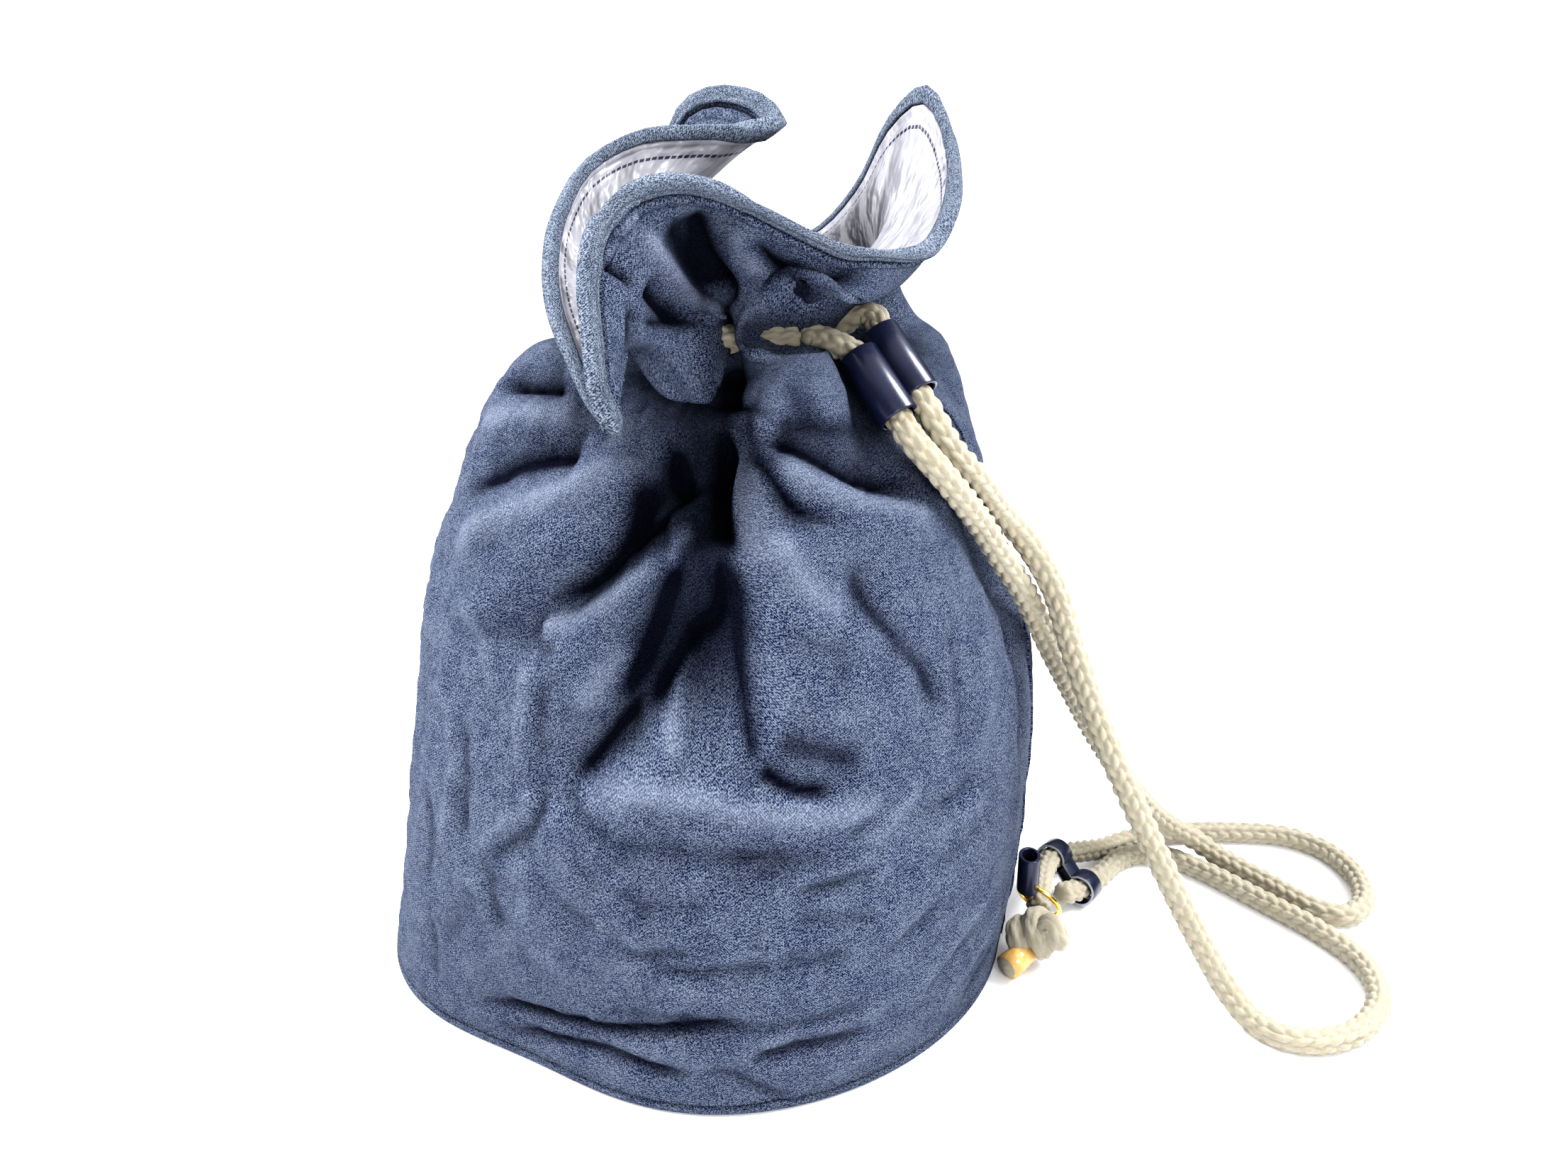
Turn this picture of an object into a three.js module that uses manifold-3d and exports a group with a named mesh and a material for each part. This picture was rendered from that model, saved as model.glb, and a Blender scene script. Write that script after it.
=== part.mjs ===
// Drawstring shoulder bag: a round canvas bucket drawn in at the neck by its rope shoulder strap.
// Millimetres, +Z up, origin on the surface it stands on, under the middle of the round base.
import * as THREE from "three";
import { mergeVertices } from "three/addons/utils/BufferGeometryUtils.js";
import Module from "manifold-3d";

const wasm = await Module();
wasm.setup();

// Driving dimensions
const BASE_RADIUS = 130;
const NECK_HEIGHT = 254;
const NECK_LEFT_SHIFT = 26;
const NECK_FRONT_SHIFT = 22;
const DRAWN_RADIUS = 27;
const LOBE_REACH = 33;
const INNER_REACH = 15;
const MOUTH_SPREAD = 100;
const MOUTH_RISE = 90;
const CANVAS_THICKNESS = 1.8;
const LINING_THICKNESS = 0.9;
const BASE_THICKNESS = 3;
const PIPING_DIAMETER = 5;
const BINDING_DEPTH = 8;
const BINDING_CLOTH = 1.2;
const ROPE_DIAMETER = 10;
const LEATHER = 1.6;
const SLIDER_LENGTH = 27;
const KEEPER_LENGTH = 9;
const TAB_HEIGHT = 16;
const TAB_REACH = 9;
const TAB_WIDTH = 13;
const TAB_FOOT = 26;
const RING_RADIUS = 9.5;
const RING_WIRE = 2;
const SEAM_WIDTH = 6;
const SEAM_THICKNESS = 1.2;
const PATCH_WIDTH = 14;
const KNOT_RADIUS = 6;
const SHOULDER_SWELL = 8;
const CLEARANCE = 0.35;
const COLUMNS = 56;

const radians = THREE.MathUtils.degToRad;

// Body sections from the base seam to the shoulder: height as a share of NECK_HEIGHT, reach to the
// left, right, front and back as shares of BASE_RADIUS, and how far the gathers show in it.
const BODY_SECTIONS = [
  { up: 0.0, left: 0.99, right: 0.995, front: 0.995, back: 1.0, gather: 0 },
  { up: 0.12, left: 0.945, right: 1.025, front: 0.985, back: 1.01, gather: 0 },
  { up: 0.26, left: 0.905, right: 1.045, front: 0.975, back: 1.01, gather: 0 },
  { up: 0.42, left: 0.86, right: 1.055, front: 0.945, back: 0.99, gather: 0.01 },
  { up: 0.57, left: 0.82, right: 1.035, front: 0.905, back: 0.95, gather: 0.03 },
  { up: 0.71, left: 0.77, right: 0.975, front: 0.85, back: 0.87, gather: 0.08 },
  { up: 0.83, left: 0.735, right: 0.97, front: 0.78, back: 0.78, gather: 0.2 },
  { up: 0.92, left: 0.73, right: 0.98, front: 0.7, back: 0.67, gather: 0.4 },
  { up: 0.965, left: 0.7, right: 0.98, front: 0.58, back: 0.54, gather: 0.62 },
];

// Flat side of the base at the front left: where the round bottom is pressed in.
const BASE_DENT = { at: -30, halfWidth: 26, depth: 0.12 };

// The eight holes that the rope runs through, by their place round the cloth and round the neck,
// in degrees from the front towards the right. Between two holes the cloth stands out in a lobe
// or runs in behind the rope, by a share of its reach, and a lobe's top lies above the rope line.
const HOLES = [
  { cloth: 9, neck: -8, lobe: 1, reach: 0.75, rise: 0.012 },
  { cloth: 54, neck: 40, lobe: -1, reach: 1, rise: 0 },
  { cloth: 99, neck: 86, lobe: 1, reach: 1.05, rise: 0.02 },
  { cloth: 144, neck: 146, lobe: -1, reach: 1, rise: 0 },
  { cloth: 189, neck: 190, lobe: 1, reach: 0.9, rise: 0 },
  { cloth: 234, neck: 232, lobe: -1, reach: 1, rise: 0 },
  { cloth: 279, neck: 266, lobe: 1, reach: 1.0, rise: 0 },
  { cloth: 324, neck: 318, lobe: -1, reach: 1, rise: 0 },
];

// The mouth, one row for each turn of its edge, from the low front tip round to the right. Across,
// deep and high place the edge, and midAcross, midDeep and midHigh the cloth half way to the neck,
// as shares of MOUTH_SPREAD and, above the rope line, of MOUTH_RISE.
const MOUTH = [
  { across: -0.15, deep: -1.0, high: -0.24, midAcross: -0.115, midDeep: -0.74, midHigh: 0.05 },
  { across: -0.19, deep: -1.02, high: -0.1, midAcross: -0.075, midDeep: -0.78, midHigh: 0.03 },
  { across: -0.205, deep: -0.99, high: 0.05, midAcross: -0.03, midDeep: -0.785, midHigh: 0.03 },
  { across: -0.22, deep: -0.95, high: 0.235, midAcross: 0.005, midDeep: -0.76, midHigh: 0.08 },
  { across: -0.2, deep: -0.9, high: 0.39, midAcross: 0.03, midDeep: -0.7, midHigh: 0.16 },
  { across: -0.13, deep: -0.85, high: 0.5, midAcross: 0.06, midDeep: -0.66, midHigh: 0.22 },
  { across: 0.0, deep: -0.8, high: 0.555, midAcross: 0.1, midDeep: -0.62, midHigh: 0.25 },
  { across: 0.14, deep: -0.74, high: 0.54, midAcross: 0.17, midDeep: -0.6, midHigh: 0.25 },
  { across: 0.31, deep: -0.7, high: 0.455, midAcross: 0.3, midDeep: -0.68, midHigh: 0.2 },
  { across: 0.53, deep: -0.66, high: 0.345, midAcross: 0.46, midDeep: -0.74, midHigh: 0.13 },
  { across: 0.72, deep: -0.56, high: 0.31, midAcross: 0.6, midDeep: -0.62, midHigh: 0.12 },
  { across: 0.86, deep: -0.42, high: 0.325, midAcross: 0.7, midDeep: -0.46, midHigh: 0.15 },
  { across: 0.955, deep: -0.22, high: 0.45, midAcross: 0.76, midDeep: -0.33, midHigh: 0.2 },
  { across: 1.0, deep: 0.0, high: 0.585, midAcross: 0.79, midDeep: -0.19, midHigh: 0.26 },
  { across: 1.0, deep: 0.2, high: 0.755, midAcross: 0.8, midDeep: -0.05, midHigh: 0.33 },
  { across: 0.93, deep: 0.41, high: 0.945, midAcross: 0.79, midDeep: 0.08, midHigh: 0.4 },
  { across: 0.82, deep: 0.58, high: 0.84, midAcross: 0.76, midDeep: 0.21, midHigh: 0.41 },
  { across: 0.7, deep: 0.72, high: 0.56, midAcross: 0.69, midDeep: 0.33, midHigh: 0.34 },
  { across: 0.52, deep: 0.86, high: 0.34, midAcross: 0.57, midDeep: 0.43, midHigh: 0.25 },
  { across: 0.28, deep: 0.9, high: 0.24, midAcross: 0.41, midDeep: 0.49, midHigh: 0.21 },
  { across: 0.05, deep: 0.82, high: 0.33, midAcross: 0.25, midDeep: 0.5, midHigh: 0.24 },
  { across: -0.11, deep: 0.68, high: 0.62, midAcross: 0.11, midDeep: 0.47, midHigh: 0.32 },
  { across: -0.04, deep: 0.51, high: 0.88, midAcross: 0.0, midDeep: 0.41, midHigh: 0.4 },
  { across: 0.1, deep: 0.4, high: 0.95, midAcross: -0.06, midDeep: 0.33, midHigh: 0.45 },
  { across: 0.26, deep: 0.32, high: 0.92, midAcross: -0.08, midDeep: 0.24, midHigh: 0.46 },
  { across: 0.35, deep: 0.16, high: 0.82, midAcross: -0.08, midDeep: 0.14, midHigh: 0.45 },
  { across: 0.23, deep: 0.01, high: 0.78, midAcross: -0.1, midDeep: 0.04, midHigh: 0.43 },
  { across: 0.08, deep: -0.02, high: 0.77, midAcross: -0.15, midDeep: -0.07, midHigh: 0.4 },
  { across: -0.15, deep: -0.08, high: 0.74, midAcross: -0.2, midDeep: -0.2, midHigh: 0.36 },
  { across: -0.32, deep: -0.22, high: 0.63, midAcross: -0.26, midDeep: -0.3, midHigh: 0.3 },
  { across: -0.39, deep: -0.37, high: 0.475, midAcross: -0.28, midDeep: -0.4, midHigh: 0.22 },
  { across: -0.408, deep: -0.51, high: 0.33, midAcross: -0.27, midDeep: -0.48, midHigh: 0.16 },
  { across: -0.383, deep: -0.66, high: 0.14, midAcross: -0.23, midDeep: -0.55, midHigh: 0.11 },
  { across: -0.304, deep: -0.8, high: -0.04, midAcross: -0.2, midDeep: -0.62, midHigh: 0.08 },
  { across: -0.229, deep: -0.91, high: -0.18, midAcross: -0.16, midDeep: -0.68, midHigh: 0.06 },
];
const MOUTH_TIP_CLOTH = -41;
const FAR_FOLD_CLOTH = -128;

// Folds of the body, drawn from the neck down and out: degrees round the cloth at the upper and
// the lower end, their heights as shares of NECK_HEIGHT, depth as a share of BASE_RADIUS, and the
// half width of each flank in degrees. A positive depth runs in and a negative one stands out.
const FOLDS = [
  { topAt: 8, lowAt: 11, top: 1.05, low: 0.42, depth: 0.2, leftFlank: 26, rightFlank: 4 },
  { topAt: 6, lowAt: -22, top: 0.7, low: 0.4, depth: 0.07, leftFlank: 9, rightFlank: 8 },
  { topAt: -4, lowAt: -32, top: 0.86, low: 0.6, depth: 0.07, leftFlank: 8, rightFlank: 8 },
  { topAt: 20, lowAt: 44, top: 0.93, low: 0.8, depth: 0.035, leftFlank: 6, rightFlank: 6 },
  { topAt: -20, lowAt: -46, top: 0.8, low: 0.62, depth: -0.05, leftFlank: 9, rightFlank: 8 },
  { topAt: 24, lowAt: 20, top: 0.72, low: 0.46, depth: -0.04, leftFlank: 12, rightFlank: 14 },
  { topAt: -62, lowAt: -72, top: 0.62, low: 0.16, depth: 0.03, leftFlank: 7, rightFlank: 7 },
  { topAt: 42, lowAt: 44, top: 1.12, low: 0.78, depth: 0.16, leftFlank: 9, rightFlank: 15 },
  { topAt: 64, lowAt: 70, top: 0.98, low: 0.5, depth: 0.06, leftFlank: 9, rightFlank: 9 },
  { topAt: 150, lowAt: 158, top: 0.98, low: 0.5, depth: 0.1, leftFlank: 14, rightFlank: 12 },
  { topAt: 205, lowAt: 196, top: 0.8, low: 0.4, depth: 0.05, leftFlank: 10, rightFlank: 12 },
  { topAt: 252, lowAt: 244, top: 0.98, low: 0.55, depth: 0.09, leftFlank: 12, rightFlank: 12 },
];

// Where the pieces meet
const PIPING_TOP = PIPING_DIAMETER;
const WALL_FOOT = PIPING_TOP + CLEARANCE;
const SIDE_SEAM_CLOTH = 79;
const outerFace = CANVAS_THICKNESS / 2;
const liningOuter = -outerFace - CLEARANCE;
const liningInner = liningOuter - LINING_THICKNESS;
const NECK_ROW = BODY_SECTIONS.length;
const RIM_ROW = NECK_ROW + 2;
const SEAM_ROWS = [0.02, 1, 2, 3, 4, 5, 5.5, 6, 6.5, 7];

const smooth = (value) => {
  const x = THREE.MathUtils.clamp(value, 0, 1);
  return x * x * (3 - 2 * x);
};

const turnBetween = (from, to) => {
  const turn = (to - from) % 360;
  return turn > 180 ? turn - 360 : turn < -180 ? turn + 360 : turn;
};

// Reach of the round base at a place round the cloth, with its flat side
function baseReach(cloth) {
  const away = turnBetween(BASE_DENT.at, cloth) / BASE_DENT.halfWidth;
  return BASE_RADIUS * (1 - BASE_DENT.depth * Math.exp(-away * away));
}

// The mouth's rows as points, and each row's place round the cloth by the length of the edge
const mouthPoint = (across, deep, high) =>
  new THREE.Vector3(
    across * MOUTH_SPREAD,
    deep * MOUTH_SPREAD,
    NECK_HEIGHT + high * MOUTH_RISE,
  );
const rimPoints = MOUTH.map((row) => mouthPoint(row.across, row.deep, row.high));
const midPoints = MOUTH.map((row) => mouthPoint(row.midAcross, row.midDeep, row.midHigh));
const rimCurve = new THREE.CatmullRomCurve3(rimPoints, true);
const midCurve = new THREE.CatmullRomCurve3(midPoints, true);
const rimSteps = rimPoints.map((point, row) =>
  point.distanceTo(rimPoints[(row + 1) % rimPoints.length]),
);
const rimLength = rimSteps.reduce((sum, step) => sum + step, 0);

// Curve parameter of the mouth at a place round the cloth
function mouthParameter(cloth) {
  let left = (((cloth - MOUTH_TIP_CLOTH) % 360) + 360) % 360;
  left *= rimLength / 360;
  let row = 0;
  while (row < rimSteps.length - 1 && left > rimSteps[row]) {
    left -= rimSteps[row];
    row += 1;
  }
  return Math.min((row + left / rimSteps[row]) / rimSteps.length, 1);
}

// The gathered cloth at the rope line, and how far its lobes and valleys swell the shoulder below
function neckPoint(cloth) {
  const place = (((cloth - HOLES[0].cloth) % 360) + 360) % 360;
  const index = Math.min(Math.floor(place / 45), HOLES.length - 1);
  const hole = HOLES[index];
  const next = HOLES[(index + 1) % HOLES.length];
  const share = (place - 45 * index) / 45;
  const turn = turnBetween(hole.neck, next.neck);
  const bulge = Math.sin(Math.PI * share);
  const spread = 0.15;
  const angle = radians(hole.neck + turn * (share - spread * Math.sin(2 * Math.PI * share)));
  const reach = hole.lobe > 0 ? LOBE_REACH : INNER_REACH;
  const radius = DRAWN_RADIUS + hole.lobe * hole.reach * reach * Math.pow(bulge, 0.75);
  const point = new THREE.Vector3(
    NECK_LEFT_SHIFT + radius * Math.sin(angle),
    -NECK_FRONT_SHIFT - radius * Math.cos(angle),
    NECK_HEIGHT * (1 + hole.rise * bulge),
  );
  return { point, swell: SHOULDER_SWELL * hole.lobe * bulge };
}

// The middle of the wall's points, row by row, at one place round the cloth
function meridian(cloth) {
  const angle = radians(cloth);
  const sine = Math.sin(angle);
  const cosine = Math.cos(angle);
  const { point: neck, swell } = neckPoint(cloth);
  const base = baseReach(cloth) / BASE_RADIUS;
  const rows = BODY_SECTIONS.map((section) => {
    const side = sine > 0 ? section.right : section.left;
    const face = cosine > 0 ? section.front : section.back;
    const dent = THREE.MathUtils.lerp(base, 1, smooth(section.up / 0.45));
    const height = THREE.MathUtils.lerp(WALL_FOOT, NECK_HEIGHT, section.up);
    const point = new THREE.Vector3(
      BASE_RADIUS * side * sine * dent,
      -BASE_RADIUS * face * cosine * dent,
      height,
    );
    const drawn = new THREE.Vector3(neck.x, neck.y, height + swell);
    return point.lerp(drawn, section.gather);
  });
  const along = mouthParameter(cloth);
  rows.push(neck, midCurve.getPoint(along), rimCurve.getPoint(along));
  return new THREE.CatmullRomCurve3(rows);
}

// How far the folds push the wall in at a place
function foldDepth(cloth, height) {
  const up = height / NECK_HEIGHT;
  let depth = 0;
  for (const fold of FOLDS) {
    const share = (up - fold.low) / (fold.top - fold.low);
    if (share <= 0 || share >= 1) continue;
    const away = turnBetween(THREE.MathUtils.lerp(fold.lowAt, fold.topAt, share), cloth);
    const flank = away < 0 ? fold.leftFlank : fold.rightFlank;
    const across = away / flank;
    const ends = smooth(share / 0.35) * smooth((1 - share) / 0.25);
    depth += fold.depth * BASE_RADIUS * ends * Math.exp(-across * across);
  }
  return depth;
}

const meridians = new Map();
function wallPoint(cloth, row) {
  const key = cloth.toFixed(3);
  if (!meridians.has(key)) meridians.set(key, meridian(cloth));
  const point = meridians.get(key).getPoint(row / RIM_ROW);
  if (row < NECK_ROW) {
    const fade = smooth((NECK_ROW - row) / 1.2);
    const push = foldDepth(cloth, point.z) * fade;
    const reach = Math.hypot(point.x, point.y);
    point.x *= 1 - push / reach;
    point.y *= 1 - push / reach;
  }
  return point;
}

// The wall's frame at a place: along the cloth, up the cloth, and out of it
function wallFrame(cloth, row) {
  const step = 0.05;
  const low = Math.max(row - step, 0);
  const high = Math.min(row + step, RIM_ROW);
  const along = wallPoint(cloth + 0.8, row).sub(wallPoint(cloth - 0.8, row)).normalize();
  const up = wallPoint(cloth, high).sub(wallPoint(cloth, low)).normalize();
  const out = new THREE.Vector3().crossVectors(along, up).normalize();
  return { point: wallPoint(cloth, row), along, up, out };
}

// A closed solid through a grid of rings: each ring is a list of points round one section. Sides
// that run back down have their diagonals flipped, so that both faces of a wall fold alike. An
// end is closed by a ladder of faces from one side of the section to the other.
function ringSolid(rings, closed, runsDown = () => false) {
  const around = rings[0].length;
  const positions = rings.flat().flatMap((point) => [point.x, point.y, point.z]);
  const faces = [];
  const count = closed ? rings.length : rings.length - 1;
  for (let ring = 0; ring < count; ring += 1) {
    const next = (ring + 1) % rings.length;
    for (let side = 0; side < around; side += 1) {
      const a = ring * around + side;
      const b = ring * around + ((side + 1) % around);
      const c = next * around + ((side + 1) % around);
      const d = next * around + side;
      if (runsDown(side)) faces.push(a, d, b, b, d, c);
      else faces.push(a, c, b, a, d, c);
    }
  }
  if (!closed) {
    const last = (rings.length - 1) * around;
    for (let side = 0; side < around / 2 - 1; side += 1) {
      const [a, b, c, d] = [side, side + 1, around - 2 - side, around - 1 - side];
      faces.push(a, b, c, a, c, d);
      faces.push(last + a, last + c, last + b, last + a, last + d, last + c);
    }
  }
  const geometry = new THREE.BufferGeometry();
  geometry.setAttribute("position", new THREE.Float32BufferAttribute(positions, 3));
  geometry.setIndex(faces);
  return geometry;
}

// A band of the wall as a solid: its rings follow the cloth round, from one face to the other
function band(cloths, rows, outer, inner, closed) {
  const rings = cloths.map((cloth) => {
    const frames = rows.map((row) => wallFrame(cloth, row));
    const face = (offset) =>
      frames.map((frame) => frame.point.clone().addScaledVector(frame.out, offset));
    return [...face(outer), ...face(inner).reverse()];
  });
  return ringSolid(rings, closed, (side) => side >= rows.length);
}

// Columns of the wall, closer together where the mouth turns back at its tip and at its far fold,
// and one under each edge of the side seam
const seamTurn = THREE.MathUtils.radToDeg(SEAM_WIDTH / 2 / BASE_RADIUS);
const seamCloths = [SIDE_SEAM_CLOTH - seamTurn, SIDE_SEAM_CLOTH + seamTurn];
const evenColumns = Array.from({ length: COLUMNS }, (unused, column) => (column * 360) / COLUMNS);
const everyColumn = evenColumns.filter((column) =>
  seamCloths.every((seam) => Math.abs(seam - column) > 1),
);
everyColumn.push(...seamCloths);
for (const turn of [MOUTH_TIP_CLOTH, FAR_FOLD_CLOTH]) {
  for (const away of [-4, -1.4, 1.4, 4]) everyColumn.push((turn + away + 360) % 360);
}
everyColumn.sort((one, other) => one - other);
const between = (from, to, steps) =>
  Array.from({ length: steps + 1 }, (unused, step) => from + ((to - from) * step) / steps);

// Solids for cutting and joining
function toSolid(geometry) {
  const bare = geometry.clone();
  bare.deleteAttribute("normal");
  bare.deleteAttribute("uv");
  const merged = mergeVertices(bare, 1e-4);
  return new wasm.Manifold(
    new wasm.Mesh({
      numProp: 3,
      vertProperties: merged.attributes.position.array,
      triVerts: new Uint32Array(merged.index.array),
    }),
  );
}

// The main body of a cut solid, without the crumbs that a cut through a tight fold leaves
const largest = (solid) =>
  solid.decompose().reduce((best, body) => (body.volume() > best.volume() ? body : best));

function fromSolid(solid) {
  const mesh = solid.getMesh();
  const geometry = new THREE.BufferGeometry();
  geometry.setAttribute("position", new THREE.Float32BufferAttribute(mesh.vertProperties, 3));
  geometry.setIndex(Array.from(mesh.triVerts));
  return geometry;
}

// Materials
const finish = (color, roughness, metalness = 0) =>
  new THREE.MeshStandardMaterial({ color, roughness, metalness, side: THREE.DoubleSide });
const navyCanvas = finish("#3f4a68", 0.9);
const greyBinding = finish("#555c6c", 0.9);
const whiteSatin = finish("#f0eef2", 0.35);
const creamCotton = finish("#e6ddc6", 0.85);
const navyLeather = finish("#171b33", 0.3);
const brass = finish("#d9b24a", 0.25, 1);
const amberTape = finish("#e0aa4e", 0.2);

const bag = new THREE.Group();
function add(name, geometry, material, place = bag) {
  geometry.computeVertexNormals();
  const mesh = new THREE.Mesh(geometry, material);
  mesh.name = name;
  place.add(mesh);
  return mesh;
}

// Canvas wall, its white lining above the neck, and the bound edge of the mouth
// The cloth between two rows of the collar is about this long
const collarRow = (5 / 9) * MOUTH_RISE;
const HEM_ROW = RIM_ROW - BINDING_DEPTH / collarRow;
const collarRows = [9.3, 9.65, 10, 10.5, HEM_ROW, RIM_ROW];
const bodyRows = [0, 1, 2, 3, 4, 5, 5.5, 6, 6.5, 7, 7.5, 8, 8.5, 9];
const wallRows = [...bodyRows, ...collarRows];
const liningRows = [9.3, ...collarRows.slice(1)];
const wall = band(everyColumn, wallRows, outerFace, -outerFace, true);
const lining = band(everyColumn, liningRows, liningOuter, liningInner, true);

// The room that the wall and its lining take up, which the next layer is kept out of
const room = 0.8 * CLEARANCE;
const wallRoom = toSolid(band(everyColumn, wallRows, outerFace + room, -outerFace - room, true));
const liningRoom = toSolid(
  band(everyColumn, liningRows, liningOuter + room, liningInner - room, true),
);

function bindingRing(cloth) {
  const hem = wallFrame(cloth, HEM_ROW);
  const rim = wallFrame(cloth, RIM_ROW);
  const slotOut = outerFace + CLEARANCE;
  const slotIn = liningInner - CLEARANCE;
  const crown = CLEARANCE + BINDING_CLOTH;
  const at = (frame, outward, upward) =>
    frame.point.clone().addScaledVector(frame.out, outward).addScaledVector(frame.up, upward);
  return [
    at(hem, slotOut, 0),
    at(hem, slotOut + BINDING_CLOTH, 0),
    at(rim, slotOut + BINDING_CLOTH, CLEARANCE),
    at(rim, slotOut, crown),
    at(rim, slotIn, crown),
    at(rim, slotIn - BINDING_CLOTH, CLEARANCE),
    at(hem, slotIn - BINDING_CLOTH, 0),
    at(hem, slotIn, 0),
    at(rim, slotIn, CLEARANCE),
    at(rim, slotOut, CLEARANCE),
  ];
}
const innerLeg = 5;
const slotFace = 9;
const bindingShape = ringSolid(
  everyColumn.map(bindingRing),
  true,
  (side) => side === innerLeg || side === slotFace,
);
const binding = toSolid(bindingShape);
add("mouth_binding", fromSolid(largest(binding.subtract(wallRoom).subtract(liningRoom))), greyBinding);

// Round base, and the piping in its seam
const pipingRadius = PIPING_DIAMETER / 2;
function pipingRing(cloth) {
  const angle = radians(cloth);
  const middle = baseReach(cloth) - pipingRadius;
  return between(0, 1, 6).slice(1).map((share) => {
    const turn = -2 * Math.PI * share;
    const reach = middle + pipingRadius * Math.cos(turn);
    const height = pipingRadius - pipingRadius * Math.sin(turn);
    return new THREE.Vector3(reach * Math.sin(angle), -reach * Math.cos(angle), height);
  });
}
add("base_piping", ringSolid(everyColumn.map(pipingRing), true), navyCanvas);

const baseOutline = everyColumn.map((cloth) => {
  const reach = baseReach(cloth) - PIPING_DIAMETER - CLEARANCE;
  return new THREE.Vector2(reach * Math.sin(radians(cloth)), -reach * Math.cos(radians(cloth)));
});
const baseShape = new THREE.Shape(baseOutline);
const baseDisc = new THREE.ExtrudeGeometry(baseShape, { depth: BASE_THICKNESS, bevelEnabled: false });
add("base_disc", baseDisc, navyCanvas);

// Strip sewn beside the low tip of the mouth, and the side seam
const stripOuter = outerFace + CLEARANCE + CANVAS_THICKNESS / 2;
const stripInner = outerFace + CLEARANCE;
const patchCloths = between(MOUTH_TIP_CLOTH + 3, MOUTH_TIP_CLOTH + 24, 6);
const patchRows = between(HEM_ROW - PATCH_WIDTH / collarRow, HEM_ROW - 0.02, 2);
add("mouth_strip", band(patchCloths, patchRows, stripOuter, stripInner, false), navyCanvas);

const seamOuter = stripInner + SEAM_THICKNESS;
add("side_seam", band(seamCloths, SEAM_ROWS, seamOuter, stripInner, false), navyCanvas);

// A rope's route, whose sections lie at its chosen points instead of at even distances
class Route extends THREE.CatmullRomCurve3 {
  getPointAt(share) {
    return this.getPoint(share);
  }
  getTangentAt(share) {
    return this.getTangent(share);
  }
}

function rope(points, diameter = ROPE_DIAMETER, sides = 8) {
  const section = new THREE.Shape(
    between(0, 1, sides).slice(1).map((share) => {
      const turn = 2 * Math.PI * share;
      return new THREE.Vector2((diameter / 2) * Math.cos(turn), (diameter / 2) * Math.sin(turn));
    }),
  );
  const extrudePath = new Route(points);
  const steps = points.length - 1;
  return new THREE.ExtrudeGeometry(section, { steps, extrudePath, bevelEnabled: false });
}
const vectors = (points) => points.map(([x, y, z]) => new THREE.Vector3(x, y, z));
const bore = (points) => toSolid(rope(points, ROPE_DIAMETER + 4 * CLEARANCE));

// The rope's run through the neck, between its two holes on the right
const neckRun = between(34, -272, 18).map((turn) => {
  const angle = radians(turn);
  return new THREE.Vector3(
    NECK_LEFT_SHIFT + DRAWN_RADIUS * Math.sin(angle),
    -NECK_FRONT_SHIFT - DRAWN_RADIUS * Math.cos(angle),
    NECK_HEIGHT,
  );
});
add("rope_neck", rope(neckRun), creamCotton);

// The two strands of the strap, points chosen by hand: out of the neck, through the slider, over
// the shoulder, down to the floor, round a loop and back through the keeper to the knot.
const farStrand = vectors([
  [41.9, -43.9, 254], [45.6, -42.6, 254], [50, -43.4, 253.2], [54.5, -45.6, 251.8],
  [58.6, -47.6, 250], [62.1, -50, 247.8], [68.3, -56.2, 238.9], [74.5, -62.3, 230],
  [79, -67.2, 223.4], [86.8, -69.8, 214.8], [96.8, -64.5, 202.8], [105.9, -54.5, 190.6],
  [114.6, -47, 177], [125.6, -39, 160.8], [141.6, -23.5, 131], [158.1, -6, 101.7],
  [171, 6, 80], [193.5, 22, 47], [213, 32.5, 25], [226.5, 34, 16.2],
  [240, 28, 8.5], [256.5, 9.5, 5.4], [268.5, -9.5, 5.4], [279, -14, 5.4],
  [291, -5, 5.4], [298, 18, 5.4], [293.5, 40, 5.4], [280, 53, 5.4],
  [256, 57, 5.4], [232, 57, 5.4], [206, 51, 5.4], [188, 40, 6.5],
  [173, 29, 11], [159, 16, 16.5], [150.8, 0, 18.5], [146.2, -14, 20], [143.4, -25, 20.5],
  [141.9, -31, 19],
]);
const nearStrand = vectors([
  [52.9, -24.4, 254.1], [53.4, -28, 255.2], [56.6, -31, 257.6], [61, -32.4, 260.3],
  [65, -33, 261], [68.2, -35.4, 259.6], [70.2, -39.6, 255.8], [73, -43.6, 250.4],
  [80, -52.5, 238.5], [84.8, -59.8, 231.8], [92.8, -61, 219], [103.8, -55.4, 206.6],
  [113.6, -45.2, 193.6], [124.2, -40.2, 181.4], [135.4, -42, 163.8], [143.9, -45, 140],
  [154.7, -52, 111.4], [167.7, -59, 83.5], [182.9, -67, 52.9], [196, -71.5, 28.5],
  [205.5, -77, 13], [212.5, -84.5, 6.4], [219.5, -91.5, 5.4], [231.2, -94.5, 5.4],
  [250, -88.7, 5.4], [266, -71.9, 5.4], [270.5, -49.2, 5.4], [263, -27, 5.4],
  [246, -1, 5.4], [227, 25, 5.4], [214, 35.5, 5.4], [203, 36.5, 5.4], [193, 31, 5.4],
  [182, 17, 6.5], [169.5, 3, 8.5], [161, -5, 11], [156.4, -8.5, 12.6],
]);
add("rope_far", rope(farStrand), creamCotton);
add("rope_near", rope(nearStrand), creamCotton);
const farBore = bore(farStrand);
const nearBore = bore(nearStrand);

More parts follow.
